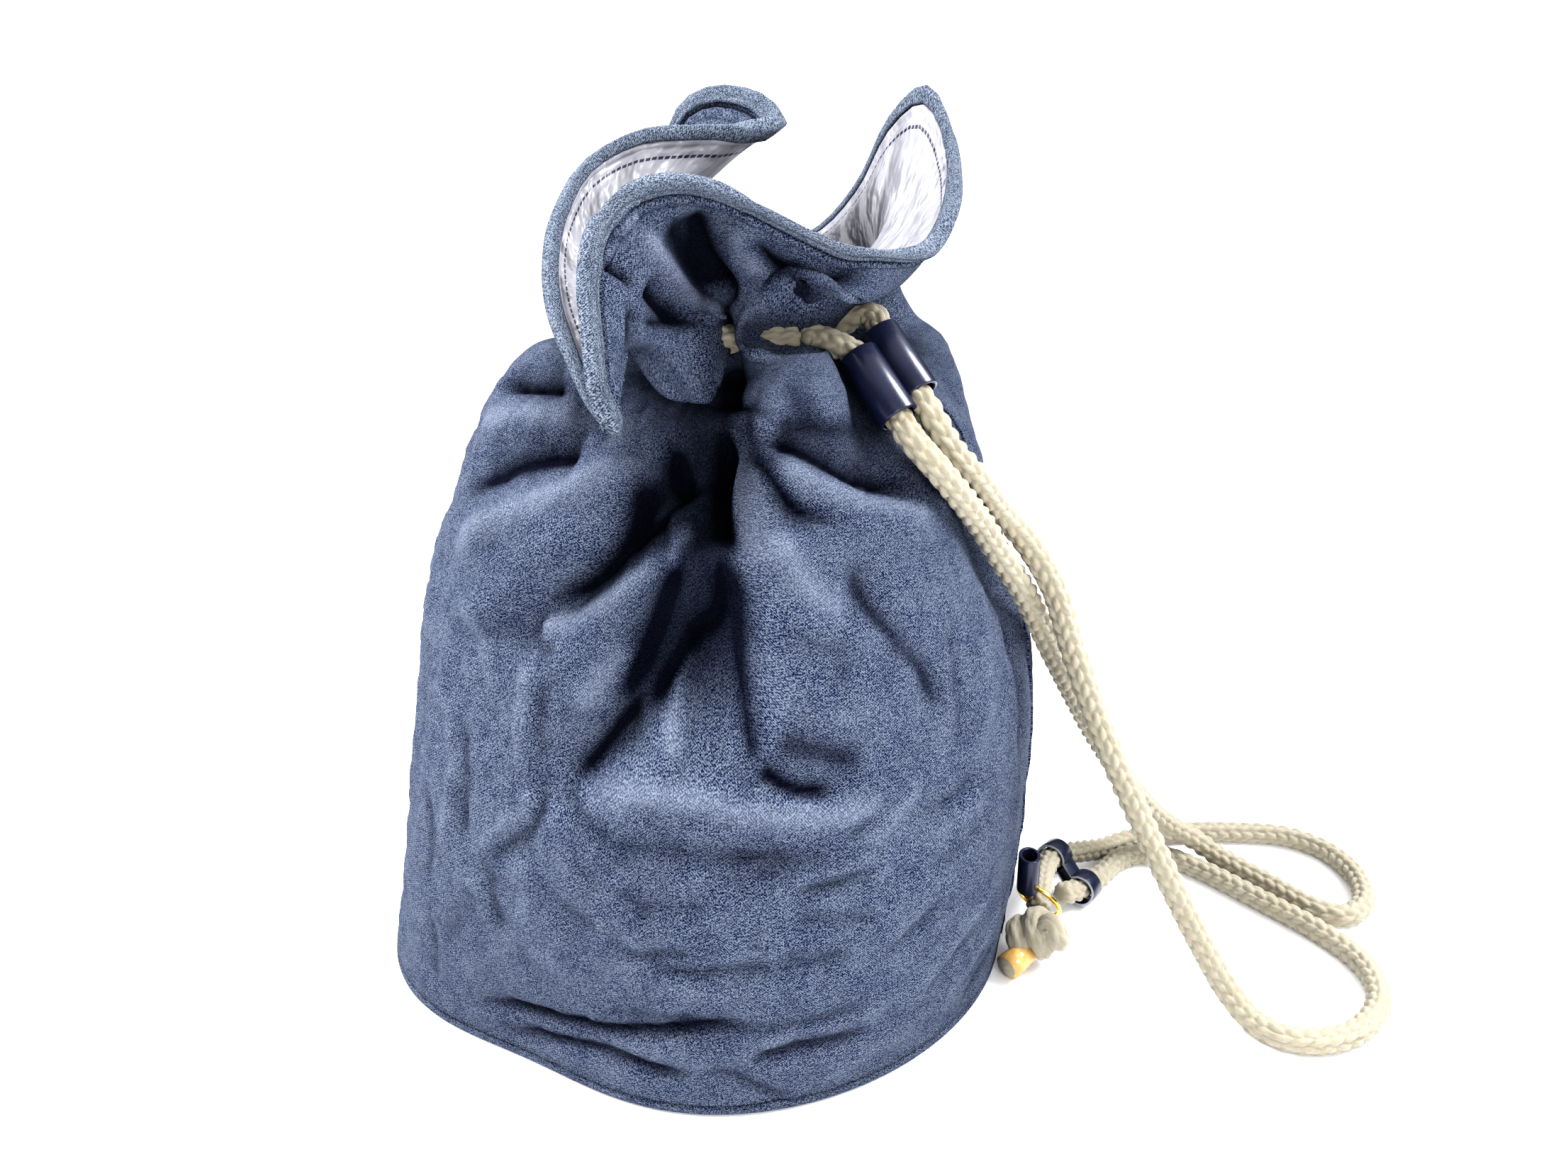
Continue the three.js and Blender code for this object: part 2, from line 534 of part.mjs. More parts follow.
// Slider and keeper: leather round both strands
const sleeve = ROPE_DIAMETER + 2 * (LEATHER + 2 * CLEARANCE);
function leatherTube(middle, towards, length) {
  const ahead = new THREE.Vector3(...towards).normalize();
  const ends = [-0.5, 0.5].map((share) =>
    new THREE.Vector3(...middle).addScaledVector(ahead, share * length),
  );
  return toSolid(rope(ends, sleeve, 14));
}
const sliderTubes = [
  leatherTube([68.3, -56.2, 238.9], [12.4, -12.3, -17.8], SLIDER_LENGTH),
  leatherTube([75.8, -47.1, 245.6], [12.4, -12.3, -17.8], SLIDER_LENGTH),
];
const slider = sliderTubes[0].add(sliderTubes[1]).subtract(farBore).subtract(nearBore);
add("slider", fromSolid(largest(slider)), navyLeather);

const keeperMiddles = [farStrand.at(-5), nearStrand.at(-3)];
const keeperAhead = [-9, -12, 1];
const keeperTubes = keeperMiddles.map((middle) => leatherTube(middle, keeperAhead, KEEPER_LENGTH));
const keeperWaist = toSolid(rope(keeperMiddles, KEEPER_LENGTH - 1));
const keeper = keeperTubes[0].add(keeperTubes[1]).add(keeperWaist);
add("keeper", fromSolid(largest(keeper.subtract(farBore).subtract(nearBore))), navyLeather);

// Brass ring, the leather tab that holds it at the side seam, the knot and the taped end
const ringMiddle = farStrand.at(-2);
const ringAxis = new THREE.Vector3(0.6, 0.62, 0.5).normalize();
function ringTorus(wire, sides, steps) {
  const torus = new THREE.TorusGeometry(RING_RADIUS, wire / 2, sides, steps);
  torus.applyQuaternion(
    new THREE.Quaternion().setFromUnitVectors(new THREE.Vector3(0, 0, 1), ringAxis),
  );
  return torus.translate(ringMiddle.x, ringMiddle.y, ringMiddle.z);
}
const ringRoom = toSolid(ringTorus(RING_WIRE + 2 * CLEARANCE, 8, 20));
add("brass_ring", fromSolid(toSolid(ringTorus(RING_WIRE, 6, 20))), brass);

const seamFrame = wallFrame(SIDE_SEAM_CLOTH, 1);
const tabOutline = (inset) =>
  between(0, 1, 20).slice(1).map((share) => {
    const turn = 2 * Math.PI * share;
    const across = (TAB_WIDTH / 2 - inset) * Math.cos(turn);
    const outward = (TAB_REACH / 2 - inset) * Math.sin(turn);
    return new THREE.Vector2(across, outward);
  });
const tabShape = new THREE.Shape(tabOutline(0));
tabShape.holes.push(new THREE.Path(tabOutline(LEATHER)));
const tab = new THREE.ExtrudeGeometry(tabShape, { depth: TAB_HEIGHT, bevelEnabled: false });
const tabStand = seamOuter + 2 * CLEARANCE + TAB_REACH / 2;
tab.rotateZ(Math.atan2(seamFrame.along.y, seamFrame.along.x));
tab.translate(
  seamFrame.point.x + tabStand * seamFrame.out.x,
  seamFrame.point.y + tabStand * seamFrame.out.y,
  TAB_FOOT,
);
add("leather_tab", fromSolid(largest(toSolid(tab).subtract(ringRoom).subtract(farBore))), navyLeather);

const tapeEnds = vectors([[135.3, -44.7, 8.6], [126, -51.8, 6.3]]);
add("rope_tip", rope(tapeEnds, ROPE_DIAMETER + 2 * CLEARANCE, 12), amberTape);
const tapeRoom = toSolid(rope(tapeEnds, ROPE_DIAMETER + 4 * CLEARANCE, 12));

const knotTurns = [
  [0.35, 0.85, 0.4],
  [0.9, -0.4, 0.1],
  [0.1, 0.4, -0.9],
];
const knotMiddle = [140.5, -40, 14.2];
const knot = knotTurns.reduce((made, towards) => {
  const turn = new THREE.TorusGeometry(KNOT_RADIUS, ROPE_DIAMETER / 2, 7, 12);
  turn.applyQuaternion(
    new THREE.Quaternion().setFromUnitVectors(
      new THREE.Vector3(0, 0, 1),
      new THREE.Vector3(...towards).normalize(),
    ),
  );
  return made.add(toSolid(turn.translate(...knotMiddle)));
}, toSolid(new THREE.IcosahedronGeometry(KNOT_RADIUS, 1).translate(...knotMiddle)));
const freeKnot = [ringRoom, tapeRoom, farBore, nearBore].reduce((made, room) => made.subtract(room), knot);
add("rope_knot", fromSolid(largest(freeKnot)), creamCotton);

// The cloth, with the rope's holes through it
const ropeRoom = bore(neckRun).add(bore(farStrand.slice(0, 10))).add(bore(nearStrand.slice(0, 10)));
add("canvas_body", fromSolid(largest(toSolid(wall).subtract(ropeRoom))), navyCanvas);
const cutLining = toSolid(lining).subtract(wallRoom).subtract(ropeRoom);
add("mouth_lining", fromSolid(largest(cutLining)), whiteSatin);

export default bag;
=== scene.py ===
# Drawstring shoulder bag: a round navy canvas bucket drawn in at the neck by its rope strap.
import math

import bmesh
import bpy
import numpy as np
from mathutils import Matrix, Vector


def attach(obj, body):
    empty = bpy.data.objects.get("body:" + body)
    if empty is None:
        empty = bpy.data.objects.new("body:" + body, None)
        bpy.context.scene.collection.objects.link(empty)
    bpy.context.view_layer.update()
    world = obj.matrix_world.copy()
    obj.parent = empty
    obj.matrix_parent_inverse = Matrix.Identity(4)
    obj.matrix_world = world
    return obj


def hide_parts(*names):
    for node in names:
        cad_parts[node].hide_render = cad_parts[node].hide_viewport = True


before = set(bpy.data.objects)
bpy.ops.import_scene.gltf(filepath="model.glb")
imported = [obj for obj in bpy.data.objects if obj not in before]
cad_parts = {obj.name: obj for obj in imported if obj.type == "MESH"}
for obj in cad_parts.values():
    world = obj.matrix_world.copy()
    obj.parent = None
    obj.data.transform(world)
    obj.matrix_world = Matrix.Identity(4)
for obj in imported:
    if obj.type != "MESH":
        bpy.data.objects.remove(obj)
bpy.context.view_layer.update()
scene = bpy.context.scene

# Sizes in metres, the same as the solids' where these have them
BASE_RADIUS = 0.130
NECK_HEIGHT = 0.254
NECK_LEFT_SHIFT = 0.026
NECK_FRONT_SHIFT = 0.022
DRAWN_RADIUS = 0.027
LOBE_REACH = 0.033
INNER_REACH = 0.015
MOUTH_SPREAD = 0.100
MOUTH_RISE = 0.090
CANVAS_THICKNESS = 0.0018
LINING_THICKNESS = 0.0009
PIPING_DIAMETER = 0.005
BINDING_DEPTH = 0.0056
BINDING_CLOTH = 0.0012
ROPE_DIAMETER = 0.010
LEATHER = 0.0016
SLIDER_LENGTH = 0.027
KEEPER_LENGTH = 0.009
TAB_HEIGHT = 0.016
TAB_REACH = 0.009
TAB_WIDTH = 0.013
TAB_FOOT = 0.026
RING_RADIUS = 0.0095
RING_WIRE = 0.002
SEAM_WIDTH = 0.006
SEAM_THICKNESS = 0.0012
SEAM_STAND = -0.0003
PATCH_WIDTH = 0.014
SHOULDER_SWELL = 0.008
CLEARANCE = 0.00035
CLOTH_ROUND = 2 * math.pi * BASE_RADIUS
CLOTH_TALL = 0.372


scene.view_settings.view_transform = "Standard"
scene.view_settings.look = "Very High Contrast"

# Camera: level with the bag's shoulder and looking 18 degrees down on it
camera_data = bpy.data.cameras.new("camera")
camera = bpy.data.objects.new("camera", camera_data)
camera.location = (0.0366, -0.454, 0.297)
camera.rotation_euler = (math.radians(72), 0, 0)
camera_data.sensor_width = 36
camera_data.lens = 1661 / 2212 * 36
camera_data.clip_start = 0.01
scene.collection.objects.link(camera)
scene.camera = camera


# Helpers for curves, meshes and pieces
def smooth(value):
    x = np.clip(value, 0, 1)
    return x * x * (3 - 2 * x)


def turn_between(start, end):
    return (end - start + 180) % 360 - 180


def unit(vector):
    return vector / np.linalg.norm(vector, axis=-1, keepdims=True)


def through(points, places, closed=False):
    """A centripetal curve through points, read at places counted in points."""
    points = np.asarray(points, float)
    count = points.shape[-2]
    places = np.asarray(places, float)
    if closed:
        index = np.floor(places).astype(int)
        share = places - index
        picks = [(index + offset) % count for offset in (-1, 0, 1, 2)]
        p0, p1, p2, p3 = (points[..., pick, :] for pick in picks)
    else:
        first = 2 * points[..., :1, :] - points[..., 1:2, :]
        last = 2 * points[..., -1:, :] - points[..., -2:-1, :]
        padded = np.concatenate([first, points, last], axis=-2)
        index = np.clip(np.floor(places).astype(int), 0, count - 2)
        share = places - index
        p0, p1, p2, p3 = (padded[..., index + offset, :] for offset in (0, 1, 2, 3))
    share = share[..., None]
    d0 = np.maximum(np.sqrt(np.linalg.norm(p1 - p0, axis=-1, keepdims=True)), 1e-6)
    d1 = np.maximum(np.sqrt(np.linalg.norm(p2 - p1, axis=-1, keepdims=True)), 1e-6)
    d2 = np.maximum(np.sqrt(np.linalg.norm(p3 - p2, axis=-1, keepdims=True)), 1e-6)
    t1 = ((p1 - p0) / d0 - (p2 - p0) / (d0 + d1) + (p2 - p1) / d1) * d1
    t2 = ((p2 - p1) / d1 - (p3 - p1) / (d1 + d2) + (p3 - p2) / d2) * d1
    c2 = 3 * (p2 - p1) - 2 * t1 - t2
    c3 = 2 * (p1 - p2) + t1 + t2
    return p1 + share * (t1 + share * (c2 + share * c3))


def piece(name, mesh, finish, node):
    """Adds a finished mesh as a piece of the bag, in place of the solid it stands for."""
    mesh.materials.append(finish)
    mesh.shade_smooth()
    thing = bpy.data.objects.new(name, mesh)
    scene.collection.objects.link(thing)
    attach(thing, "root")
    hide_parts(node)
    return thing


def finished(builder, name):
    mesh = bpy.data.meshes.new(name)
    builder.to_mesh(mesh)
    builder.free()
    return mesh


def grid_mesh(name, places, uvs, closed=True, marks=None):
    """A grid of quads laid over rows of points, joined where its edges meet."""
    rows, columns = places.shape[:2]
    builder = bmesh.new()
    layer = builder.loops.layers.uv.new("cloth")
    # A layer for the painted shade and painted highlight at each point
    painted_shading = builder.verts.layers.float.new("crease")
    bmesh.ops.create_grid(builder, x_segments=columns - 1, y_segments=rows - 1, size=1)
    builder.verts.ensure_lookup_table()
    cells = {}
    for vertex in builder.verts:
        column = round((vertex.co.x + 1) / 2 * (columns - 1))
        row = round((vertex.co.y + 1) / 2 * (rows - 1))
        cells[vertex.index] = (row, column)
    for face in builder.faces:
        for loop in face.loops:
            loop[layer].uv = uvs[cells[loop.vert.index]]
    for vertex in builder.verts:
        cell = cells[vertex.index]
        vertex.co = places[cell]
        if marks is not None:
            vertex[painted_shading] = marks[cell]
    if closed:
        bmesh.ops.remove_doubles(builder, verts=builder.verts, dist=1e-6)
    return finished(builder, name)


def uv_grid(across, upward):
    return np.stack(np.broadcast_arrays(across[None, :], upward[:, None]), -1)


def thicken(thing, thickness, offset):
    modifier = thing.modifiers.new("thickness", "SOLIDIFY")
    modifier.thickness = thickness
    modifier.offset = offset
    modifier.use_even_offset = False
    return modifier


def soften(thing, width, segments=2):
    modifier = thing.modifiers.new("soft edges", "BEVEL")
    modifier.width = width
    modifier.segments = segments


def lay_along(builder, verts, direction):
    """Turns points that stand upright so that they lie along a direction."""
    turn = Vector((0, 0, 1)).rotation_difference(Vector(direction)).to_matrix()
    bmesh.ops.rotate(builder, verts=verts, cent=(0, 0, 0), matrix=turn)


def verts_in(geometry):
    return [item for item in geometry if isinstance(item, bmesh.types.BMVert)]


def edges_in(geometry):
    return [item for item in geometry if isinstance(item, bmesh.types.BMEdge)]



# Rope routes, in metres: out of the neck, through the slider, over the shoulder, down to the
# floor, round a loop and back through the keeper to the knot
FAR_STRAND = [
    (0.0419, -0.0439, 0.254), (0.0456, -0.0426, 0.254), (0.05, -0.0434, 0.2532),
    (0.0545, -0.0456, 0.2518), (0.0586, -0.0476, 0.25), (0.0621, -0.05, 0.2478),
    (0.0683, -0.0562, 0.2389), (0.0745, -0.0623, 0.23), (0.079, -0.0672, 0.2234),
    (0.0868, -0.0698, 0.2148), (0.0968, -0.0645, 0.2028), (0.1059, -0.0545, 0.1906),
    (0.1146, -0.047, 0.177), (0.1256, -0.039, 0.1608), (0.1416, -0.0235, 0.131),
    (0.1581, -0.006, 0.1017), (0.171, 0.006, 0.08), (0.1935, 0.022, 0.047),
    (0.213, 0.0325, 0.025), (0.2265, 0.034, 0.0162), (0.24, 0.028, 0.0085),
    (0.2565, 0.0095, 0.0054), (0.2685, -0.0095, 0.0054), (0.279, -0.014, 0.0054),
    (0.291, -0.005, 0.0054), (0.298, 0.018, 0.0054), (0.2935, 0.04, 0.0054),
    (0.28, 0.053, 0.0054), (0.256, 0.057, 0.0054), (0.232, 0.057, 0.0054),
    (0.206, 0.051, 0.0054), (0.188, 0.04, 0.0065), (0.173, 0.029, 0.011),
    (0.159, 0.016, 0.0165), (0.1508, 0, 0.0185), (0.1462, -0.014, 0.02),
    (0.1434, -0.025, 0.0205), (0.1419, -0.031, 0.019),
]
NEAR_STRAND = [
    (0.0529, -0.0244, 0.2541), (0.0534, -0.028, 0.2552), (0.0566, -0.031, 0.2576),
    (0.061, -0.0324, 0.2603), (0.065, -0.033, 0.261), (0.0682, -0.0354, 0.2596),
    (0.0702, -0.0396, 0.2558), (0.073, -0.0436, 0.2504), (0.08, -0.0525, 0.2385),
    (0.0848, -0.0598, 0.2318), (0.0928, -0.061, 0.219), (0.1038, -0.0554, 0.2066),
    (0.1136, -0.0452, 0.1936), (0.1242, -0.0402, 0.1814), (0.1354, -0.042, 0.1638),
    (0.1439, -0.045, 0.14), (0.1547, -0.052, 0.1114), (0.1677, -0.059, 0.0835),
    (0.1829, -0.067, 0.0529), (0.196, -0.0715, 0.0285), (0.2055, -0.077, 0.013),
    (0.2125, -0.0845, 0.0064), (0.2195, -0.0915, 0.0054), (0.2312, -0.0945, 0.0054),
    (0.25, -0.0887, 0.0054), (0.266, -0.0719, 0.0054), (0.2705, -0.0492, 0.0054),
    (0.263, -0.027, 0.0054), (0.246, -0.001, 0.0054), (0.227, 0.025, 0.0054),
    (0.214, 0.0355, 0.0054), (0.203, 0.0365, 0.0054), (0.193, 0.031, 0.0054),
    (0.182, 0.017, 0.0065), (0.1695, 0.003, 0.0085), (0.161, -0.005, 0.011),
    (0.1564, -0.0085, 0.0126),
]


def even_route(points, step):
    """Points a step apart along the curve through a route, and the route's length."""
    fine = through(points, np.linspace(0, len(points) - 1, 40 * len(points)))
    lengths = np.concatenate([[0], np.cumsum(np.linalg.norm(np.diff(fine, axis=0), axis=1))])
    count = max(int(lengths[-1] / step), 2)
    at = np.linspace(0, lengths[-1], count + 1)
    line = np.stack([np.interp(at, lengths, fine[:, axis]) for axis in range(3)], axis=1)
    return line, at, lengths[-1]


def carried_frames(line):
    """Two directions across a line, carried along it without twisting."""
    along = unit(np.gradient(line, axis=0))
    side = np.zeros_like(line)
    start = np.cross(along[0], (0, 0, 1.0))
    if np.linalg.norm(start) < 0.1:
        start = np.cross(along[0], (0, 1.0, 0))
    side[0] = unit(start)
    for index in range(1, len(line)):
        carried = side[index - 1] - along[index] * np.dot(side[index - 1], along[index])
        side[index] = unit(carried)
    return side, np.cross(along, side)


# The rope's plait: rows of stitches round it, a stitch's length, how far along the rope a row
# moves over by its own width, and how stitches slant in even and odd rows
ROPE_PLAITS = 8
ROPE_STITCH = 0.0058
ROPE_DRIFT = 0.16
ROPE_SLANTS = (0.55, -0.35)
ROPE_SIDES = 48
ROPE_FULLNESS = 1.02
ROPE_UV_ROUND = 0.0314
ROPE_END_SHARES = np.array([0.12, 0.5, 0.85])


def rope_mesh(name, points, step=0.0008, relief=0.3):
    """A plaited cotton rope: a tube whose stitches stand up in slanting rows."""
    line, at, length = even_route(points, step)
    side, over = carried_frames(line)
    angles = np.linspace(0, 2 * math.pi, ROPE_SIDES + 1)
    around = angles[None, :] * ROPE_PLAITS / (2 * math.pi) + at[:, None] / ROPE_DRIFT
    plait = np.floor(around)
    across = around - plait - 0.5
    slant = np.where(plait % 2 == 0, *ROPE_SLANTS)
    stitch = at[:, None] / ROPE_STITCH + slant * across + 0.5 * (plait % 2)
    swell = np.abs(np.cos(math.pi * stitch)) ** 0.7
    crown = np.cos(math.pi * across) ** 0.5
    radius = ROPE_DIAMETER / 2 * (ROPE_FULLNESS - relief * (1 - swell * crown))
    places = (
        line[:, None, :]
        + radius[..., None] * np.cos(angles)[None, :, None] * side[:, None, :]
        + radius[..., None] * np.sin(angles)[None, :, None] * over[:, None, :]
    )
    for row, share in enumerate(np.sqrt(1 - (1 - ROPE_END_SHARES) ** 2)):
        for end in (row, -1 - row):
            places[end] = line[end] + (places[end] - line[end]) * share
    mesh = grid_mesh(name, places, uv_grid(angles / (2 * math.pi) * ROPE_UV_ROUND, at))
    builder = bmesh.new()
    builder.from_mesh(mesh)
    bmesh.ops.holes_fill(builder, edges=[edge for edge in builder.edges if edge.is_boundary], sides=0)
    bmesh.ops.recalc_face_normals(builder, faces=builder.faces)
    builder.to_mesh(mesh)
    builder.free()
    return mesh, line, length


# Shader groups
def group(name, inputs, outputs):
    tree = bpy.data.node_groups.new(name, "ShaderNodeTree")
    for label, kind, value in inputs:
        socket = tree.interface.new_socket(name=label, in_out="INPUT", socket_type=kind)
        if value is not None:
            socket.default_value = value
    for label, kind in outputs:
        tree.interface.new_socket(name=label, in_out="OUTPUT", socket_type=kind)
    source = tree.nodes.new("NodeGroupInput")
    target = tree.nodes.new("NodeGroupOutput")
    return tree, source, target

def math_node(tree, operation, first, second=None):
    node = tree.nodes.new("ShaderNodeMath")
    node.operation = operation
    for index, value in enumerate((first, second)):
        if value is None:
            continue
        if hasattr(value, "is_output"):
            tree.links.new(value, node.inputs[index])
        else:
            node.inputs[index].default_value = value
    return node.outputs[0]


def plus(tree, first, second):
    return math_node(tree, "ADD", first, second)


def minus(tree, first, second):
    return math_node(tree, "SUBTRACT", first, second)


def times(tree, first, second):
    return math_node(tree, "MULTIPLY", first, second)


def parts_of(tree, vector):
    node = tree.nodes.new("ShaderNodeSeparateXYZ")
    tree.links.new(vector, node.inputs[0])
    return node.outputs


def noise_node(tree, vector, scale, detail=3, roughness=0.55):
    node = tree.nodes.new("ShaderNodeTexNoise")
    node.inputs["Scale"].default_value = scale
    node.inputs["Detail"].default_value = detail
    node.inputs["Roughness"].default_value = roughness
    tree.links.new(vector, node.inputs["Vector"])
    return node.outputs["Fac"]


def spread_node(tree, value, low, high, to_low=0.0, to_high=1.0):
    node = tree.nodes.new("ShaderNodeMapRange")
    ends = {"From Min": low, "From Max": high, "To Min": to_low, "To Max": to_high}
    for label, setting in ends.items():
        node.inputs[label].default_value = setting
    tree.links.new(value, node.inputs["Value"])
    return node.outputs["Result"]


def mix_color(tree, factor, first, second):
    node = tree.nodes.new("ShaderNodeMix")
    node.data_type = "RGBA"
    for index, value in ((0, factor), (6, first), (7, second)):
        if hasattr(value, "is_output"):
            tree.links.new(value, node.inputs[index])
        else:
            node.inputs[index].default_value = (*value, 1)
    return node.outputs[2]


# Canvas: threads to a metre, the size of a thread's step across and up the cloth, and scale,
# detail and roughness of its unevenness
THREADS = 1200.0
THREAD_STEP = (0.0009, 0.0006, 1)
SPECK = (1500, 2, 0.7)
WRINKLE = (55, 4, 0.5)
GRAIN = (1900, 2, 0.8)
BLOTCH = (60, 7, 0.75)


def weave_group():
    """Canvas: fine slanting ribs crossed by the warp, with slubs and a soft mottle."""
    tree, source, target = group(
        "weave",
        [("Vector", "NodeSocketVector", None), ("Threads", "NodeSocketFloat", THREADS)],
        [("Height", "NodeSocketFloat"), ("Speckle", "NodeSocketFloat"), ("Mottle", "NodeSocketFloat")],
    )
    vector = source.outputs["Vector"]
    parts = parts_of(tree, vector)
    turns = times(tree, source.outputs["Threads"], 2 * math.pi)
    across = times(tree, parts[0], turns)
    upward = times(tree, parts[1], turns)
    rib = math_node(tree, "SINE", plus(tree, across, upward))
    cell = math_node(tree, "SINE", minus(tree, times(tree, across, 0.5), upward))
    pattern = plus(tree, times(tree, rib, 0.6), times(tree, cell, 0.4))
    rough = plus(tree, pattern, times(tree, noise_node(tree, vector, *SPECK), 0.8))
    wrinkle = math_node(tree, "ABSOLUTE", minus(tree, noise_node(tree, vector, *WRINKLE), 0.5))
    tree.links.new(plus(tree, rough, times(tree, wrinkle, 34)), target.inputs["Height"])
    thread = tree.nodes.new("ShaderNodeVectorMath")
    thread.operation = "SNAP"
    thread.inputs[1].default_value = THREAD_STEP
    tree.links.new(vector, thread.inputs[0])
    slub = tree.nodes.new("ShaderNodeTexWhiteNoise")
    tree.links.new(thread.outputs[0], slub.inputs["Vector"])
    fleck = plus(tree, noise_node(tree, vector, *GRAIN), times(tree, pattern, 0.06))
    fleck = plus(tree, fleck, times(tree, slub.outputs["Value"], 0.085))
    tree.links.new(spread_node(tree, fleck, 0.47, 0.625), target.inputs["Speckle"])
    blotch = noise_node(tree, vector, *BLOTCH)
    tree.links.new(spread_node(tree, blotch, 0.38, 0.62), target.inputs["Mottle"])
    return tree


STITCH_SHARE = 0.72


def stitch_group():
    """A row of thread stitches along a line at a set height of the cloth."""
    labels = ("Along", "Across", "Line", "Pitch", "Width")
    tree, source, target = group(
        "stitches", [(label, "NodeSocketFloat", 0.0) for label in labels], [("Mask", "NodeSocketFloat")]
    )
    along, across, line, pitch, width = (source.outputs[label] for label in labels)
    away = math_node(tree, "ABSOLUTE", minus(tree, across, line))
    inside = math_node(tree, "LESS_THAN", away, width)
    place = math_node(tree, "FRACT", math_node(tree, "DIVIDE", along, pitch))
    dash = math_node(tree, "LESS_THAN", place, STITCH_SHARE)
    tree.links.new(times(tree, inside, dash), target.inputs["Mask"])
    return tree


weave = weave_group()
stitches = stitch_group()


def material(name, roughness, **shader):
    finish = bpy.data.materials.new(name)
    finish.use_nodes = True
    principled = finish.node_tree.nodes["Principled BSDF"]
    principled.inputs["Roughness"].default_value = roughness
    for label, value in shader.items():
        principled.inputs[label.replace("_", " ")].default_value = value
    return finish, finish.node_tree, principled


def bump(tree, principled, height, strength, distance):
    node = tree.nodes.new("ShaderNodeBump")
    node.inputs["Strength"].default_value = strength
    node.inputs["Distance"].default_value = distance
    tree.links.new(height, node.inputs["Height"])
    tree.links.new(node.outputs["Normal"], principled.inputs["Normal"])


def placed(tree, shader_group, **values):
    node = tree.nodes.new("ShaderNodeGroup")
    node.node_tree = shader_group
    for label, value in values.items():
        if hasattr(value, "is_output"):
            tree.links.new(value, node.inputs[label])
        else:
            node.inputs[label].default_value = value
    return node.outputs


def cloth_map(tree):
    node = tree.nodes.new("ShaderNodeUVMap")
    node.uv_map = "cloth"
    return node.outputs["UV"]


def object_map(tree):
    return tree.nodes.new("ShaderNodeTexCoord").outputs["Object"]


# Painted shade for creases, large folds and the stitched groove, and painted highlight for raised creases
CREASE_SHADE_PAINT = (0.0, 0.0005, 0.012)
RIDGE_HIGHLIGHT_PAINT = (0.3, 0.33, 0.4)
NAVY_DARK = (0.003, 0.01, 0.05)
NAVY_LIGHT = (0.19, 0.217, 0.264)
BINDING_DARK = (0.03, 0.042, 0.07)
BINDING_LIGHT = (0.25, 0.28, 0.33)


def canvas_material(name, dark, light, mapping=cloth_map):
    finish, tree, principled = material(name, 0.95, Specular_IOR_Level=0.2)
    cloth = placed(tree, weave, Vector=mapping(tree), Threads=THREADS)
    tone = mix_color(tree, cloth["Speckle"], dark, light)
    tone = mix_color(tree, spread_node(tree, cloth["Mottle"], 0.45, 1, 0, 0.18), tone, light)
    tone = mix_color(tree, spread_node(tree, cloth["Mottle"], 0.45, 0, 0, 0.2), tone, dark)
    # Painted shade into creases, folds and the stitched groove, and painted highlight along raised creases,
    # read from the mesh
    crease = tree.nodes.new("ShaderNodeAttribute")
    crease.attribute_name = "crease"
    tone = mix_color(tree, spread_node(tree, crease.outputs["Fac"], 0, 1.2, 0, 0.9), tone, CREASE_SHADE_PAINT)
    tone = mix_color(tree, spread_node(tree, crease.outputs["Fac"], 0, -1, 0, 0.3), tone, RIDGE_HIGHLIGHT_PAINT)
    tree.links.new(tone, principled.inputs["Base Color"])
    bump(tree, principled, cloth["Height"], 0.6, 0.0003)
    return finish


SATIN_SEAM = dict(Line=CLOTH_TALL * 0.984 - 0.0035, Pitch=0.0032, Width=0.0005)
SATIN_DARK = (0.27, 0.27, 0.3)
SATIN_LIGHT = (0.36, 0.36, 0.39)
THREAD_DARK = (0.05, 0.05, 0.08)


def satin_material(name):
    finish, tree, principled = material(name, 0.34)
    vector = cloth_map(tree)
    parts = parts_of(tree, vector)
    seam = placed(tree, stitches, Along=parts[0], Across=parts[1], **SATIN_SEAM)["Mask"]
    white = mix_color(tree, noise_node(tree, vector, 90), SATIN_DARK, SATIN_LIGHT)
    tree.links.new(mix_color(tree, seam, white, THREAD_DARK), principled.inputs["Base Color"])
    height = minus(tree, noise_node(tree, vector, 42, 3, 0.45), times(tree, seam, 0.1))
    bump(tree, principled, height, 0.7, 0.02)
    return finish


COTTON_DARK = (0.27, 0.245, 0.19)
COTTON_LIGHT = (0.41, 0.385, 0.315)
COTTON_SOILED = (0.31, 0.25, 0.155)


def rope_material(name, mapping=cloth_map):
    finish, tree, principled = material(name, 0.85, Sheen_Weight=0.35, Sheen_Roughness=0.5)
    vector = mapping(tree)
    stretched = tree.nodes.new("ShaderNodeMapping")
    stretched.inputs["Scale"].default_value = (1.0, 0.4, 1.0)
    tree.links.new(vector, stretched.inputs["Vector"])
    fibre = noise_node(tree, stretched.outputs["Vector"], 1400, 4, 0.7)
    soiled = spread_node(tree, noise_node(tree, vector, 60, 4, 0.65), 0.5, 0.8, 0, 0.5)
    cream = mix_color(tree, fibre, COTTON_DARK, COTTON_LIGHT)
    tree.links.new(mix_color(tree, soiled, cream, COTTON_SOILED), principled.inputs["Base Color"])
    bump(tree, principled, fibre, 0.6, 0.0006)
    return finish


def grained_material(name, roughness, dark, light, grain, relief, cloud=None, shine=None, **shader):
    """Two tones in a grain or a larger cloud, with the grain in the surface and in its gloss."""
    finish, tree, principled = material(name, roughness, **shader)
    vector = object_map(tree)
    fine = noise_node(tree, vector, *grain)
    tone = noise_node(tree, vector, *cloud) if cloud else fine
    tree.links.new(mix_color(tree, tone, dark, light), principled.inputs["Base Color"])
    if shine:
        tree.links.new(spread_node(tree, fine, 0.3, 0.7, *shine), principled.inputs["Roughness"])
    bump(tree, principled, fine, *relief)
    return finish


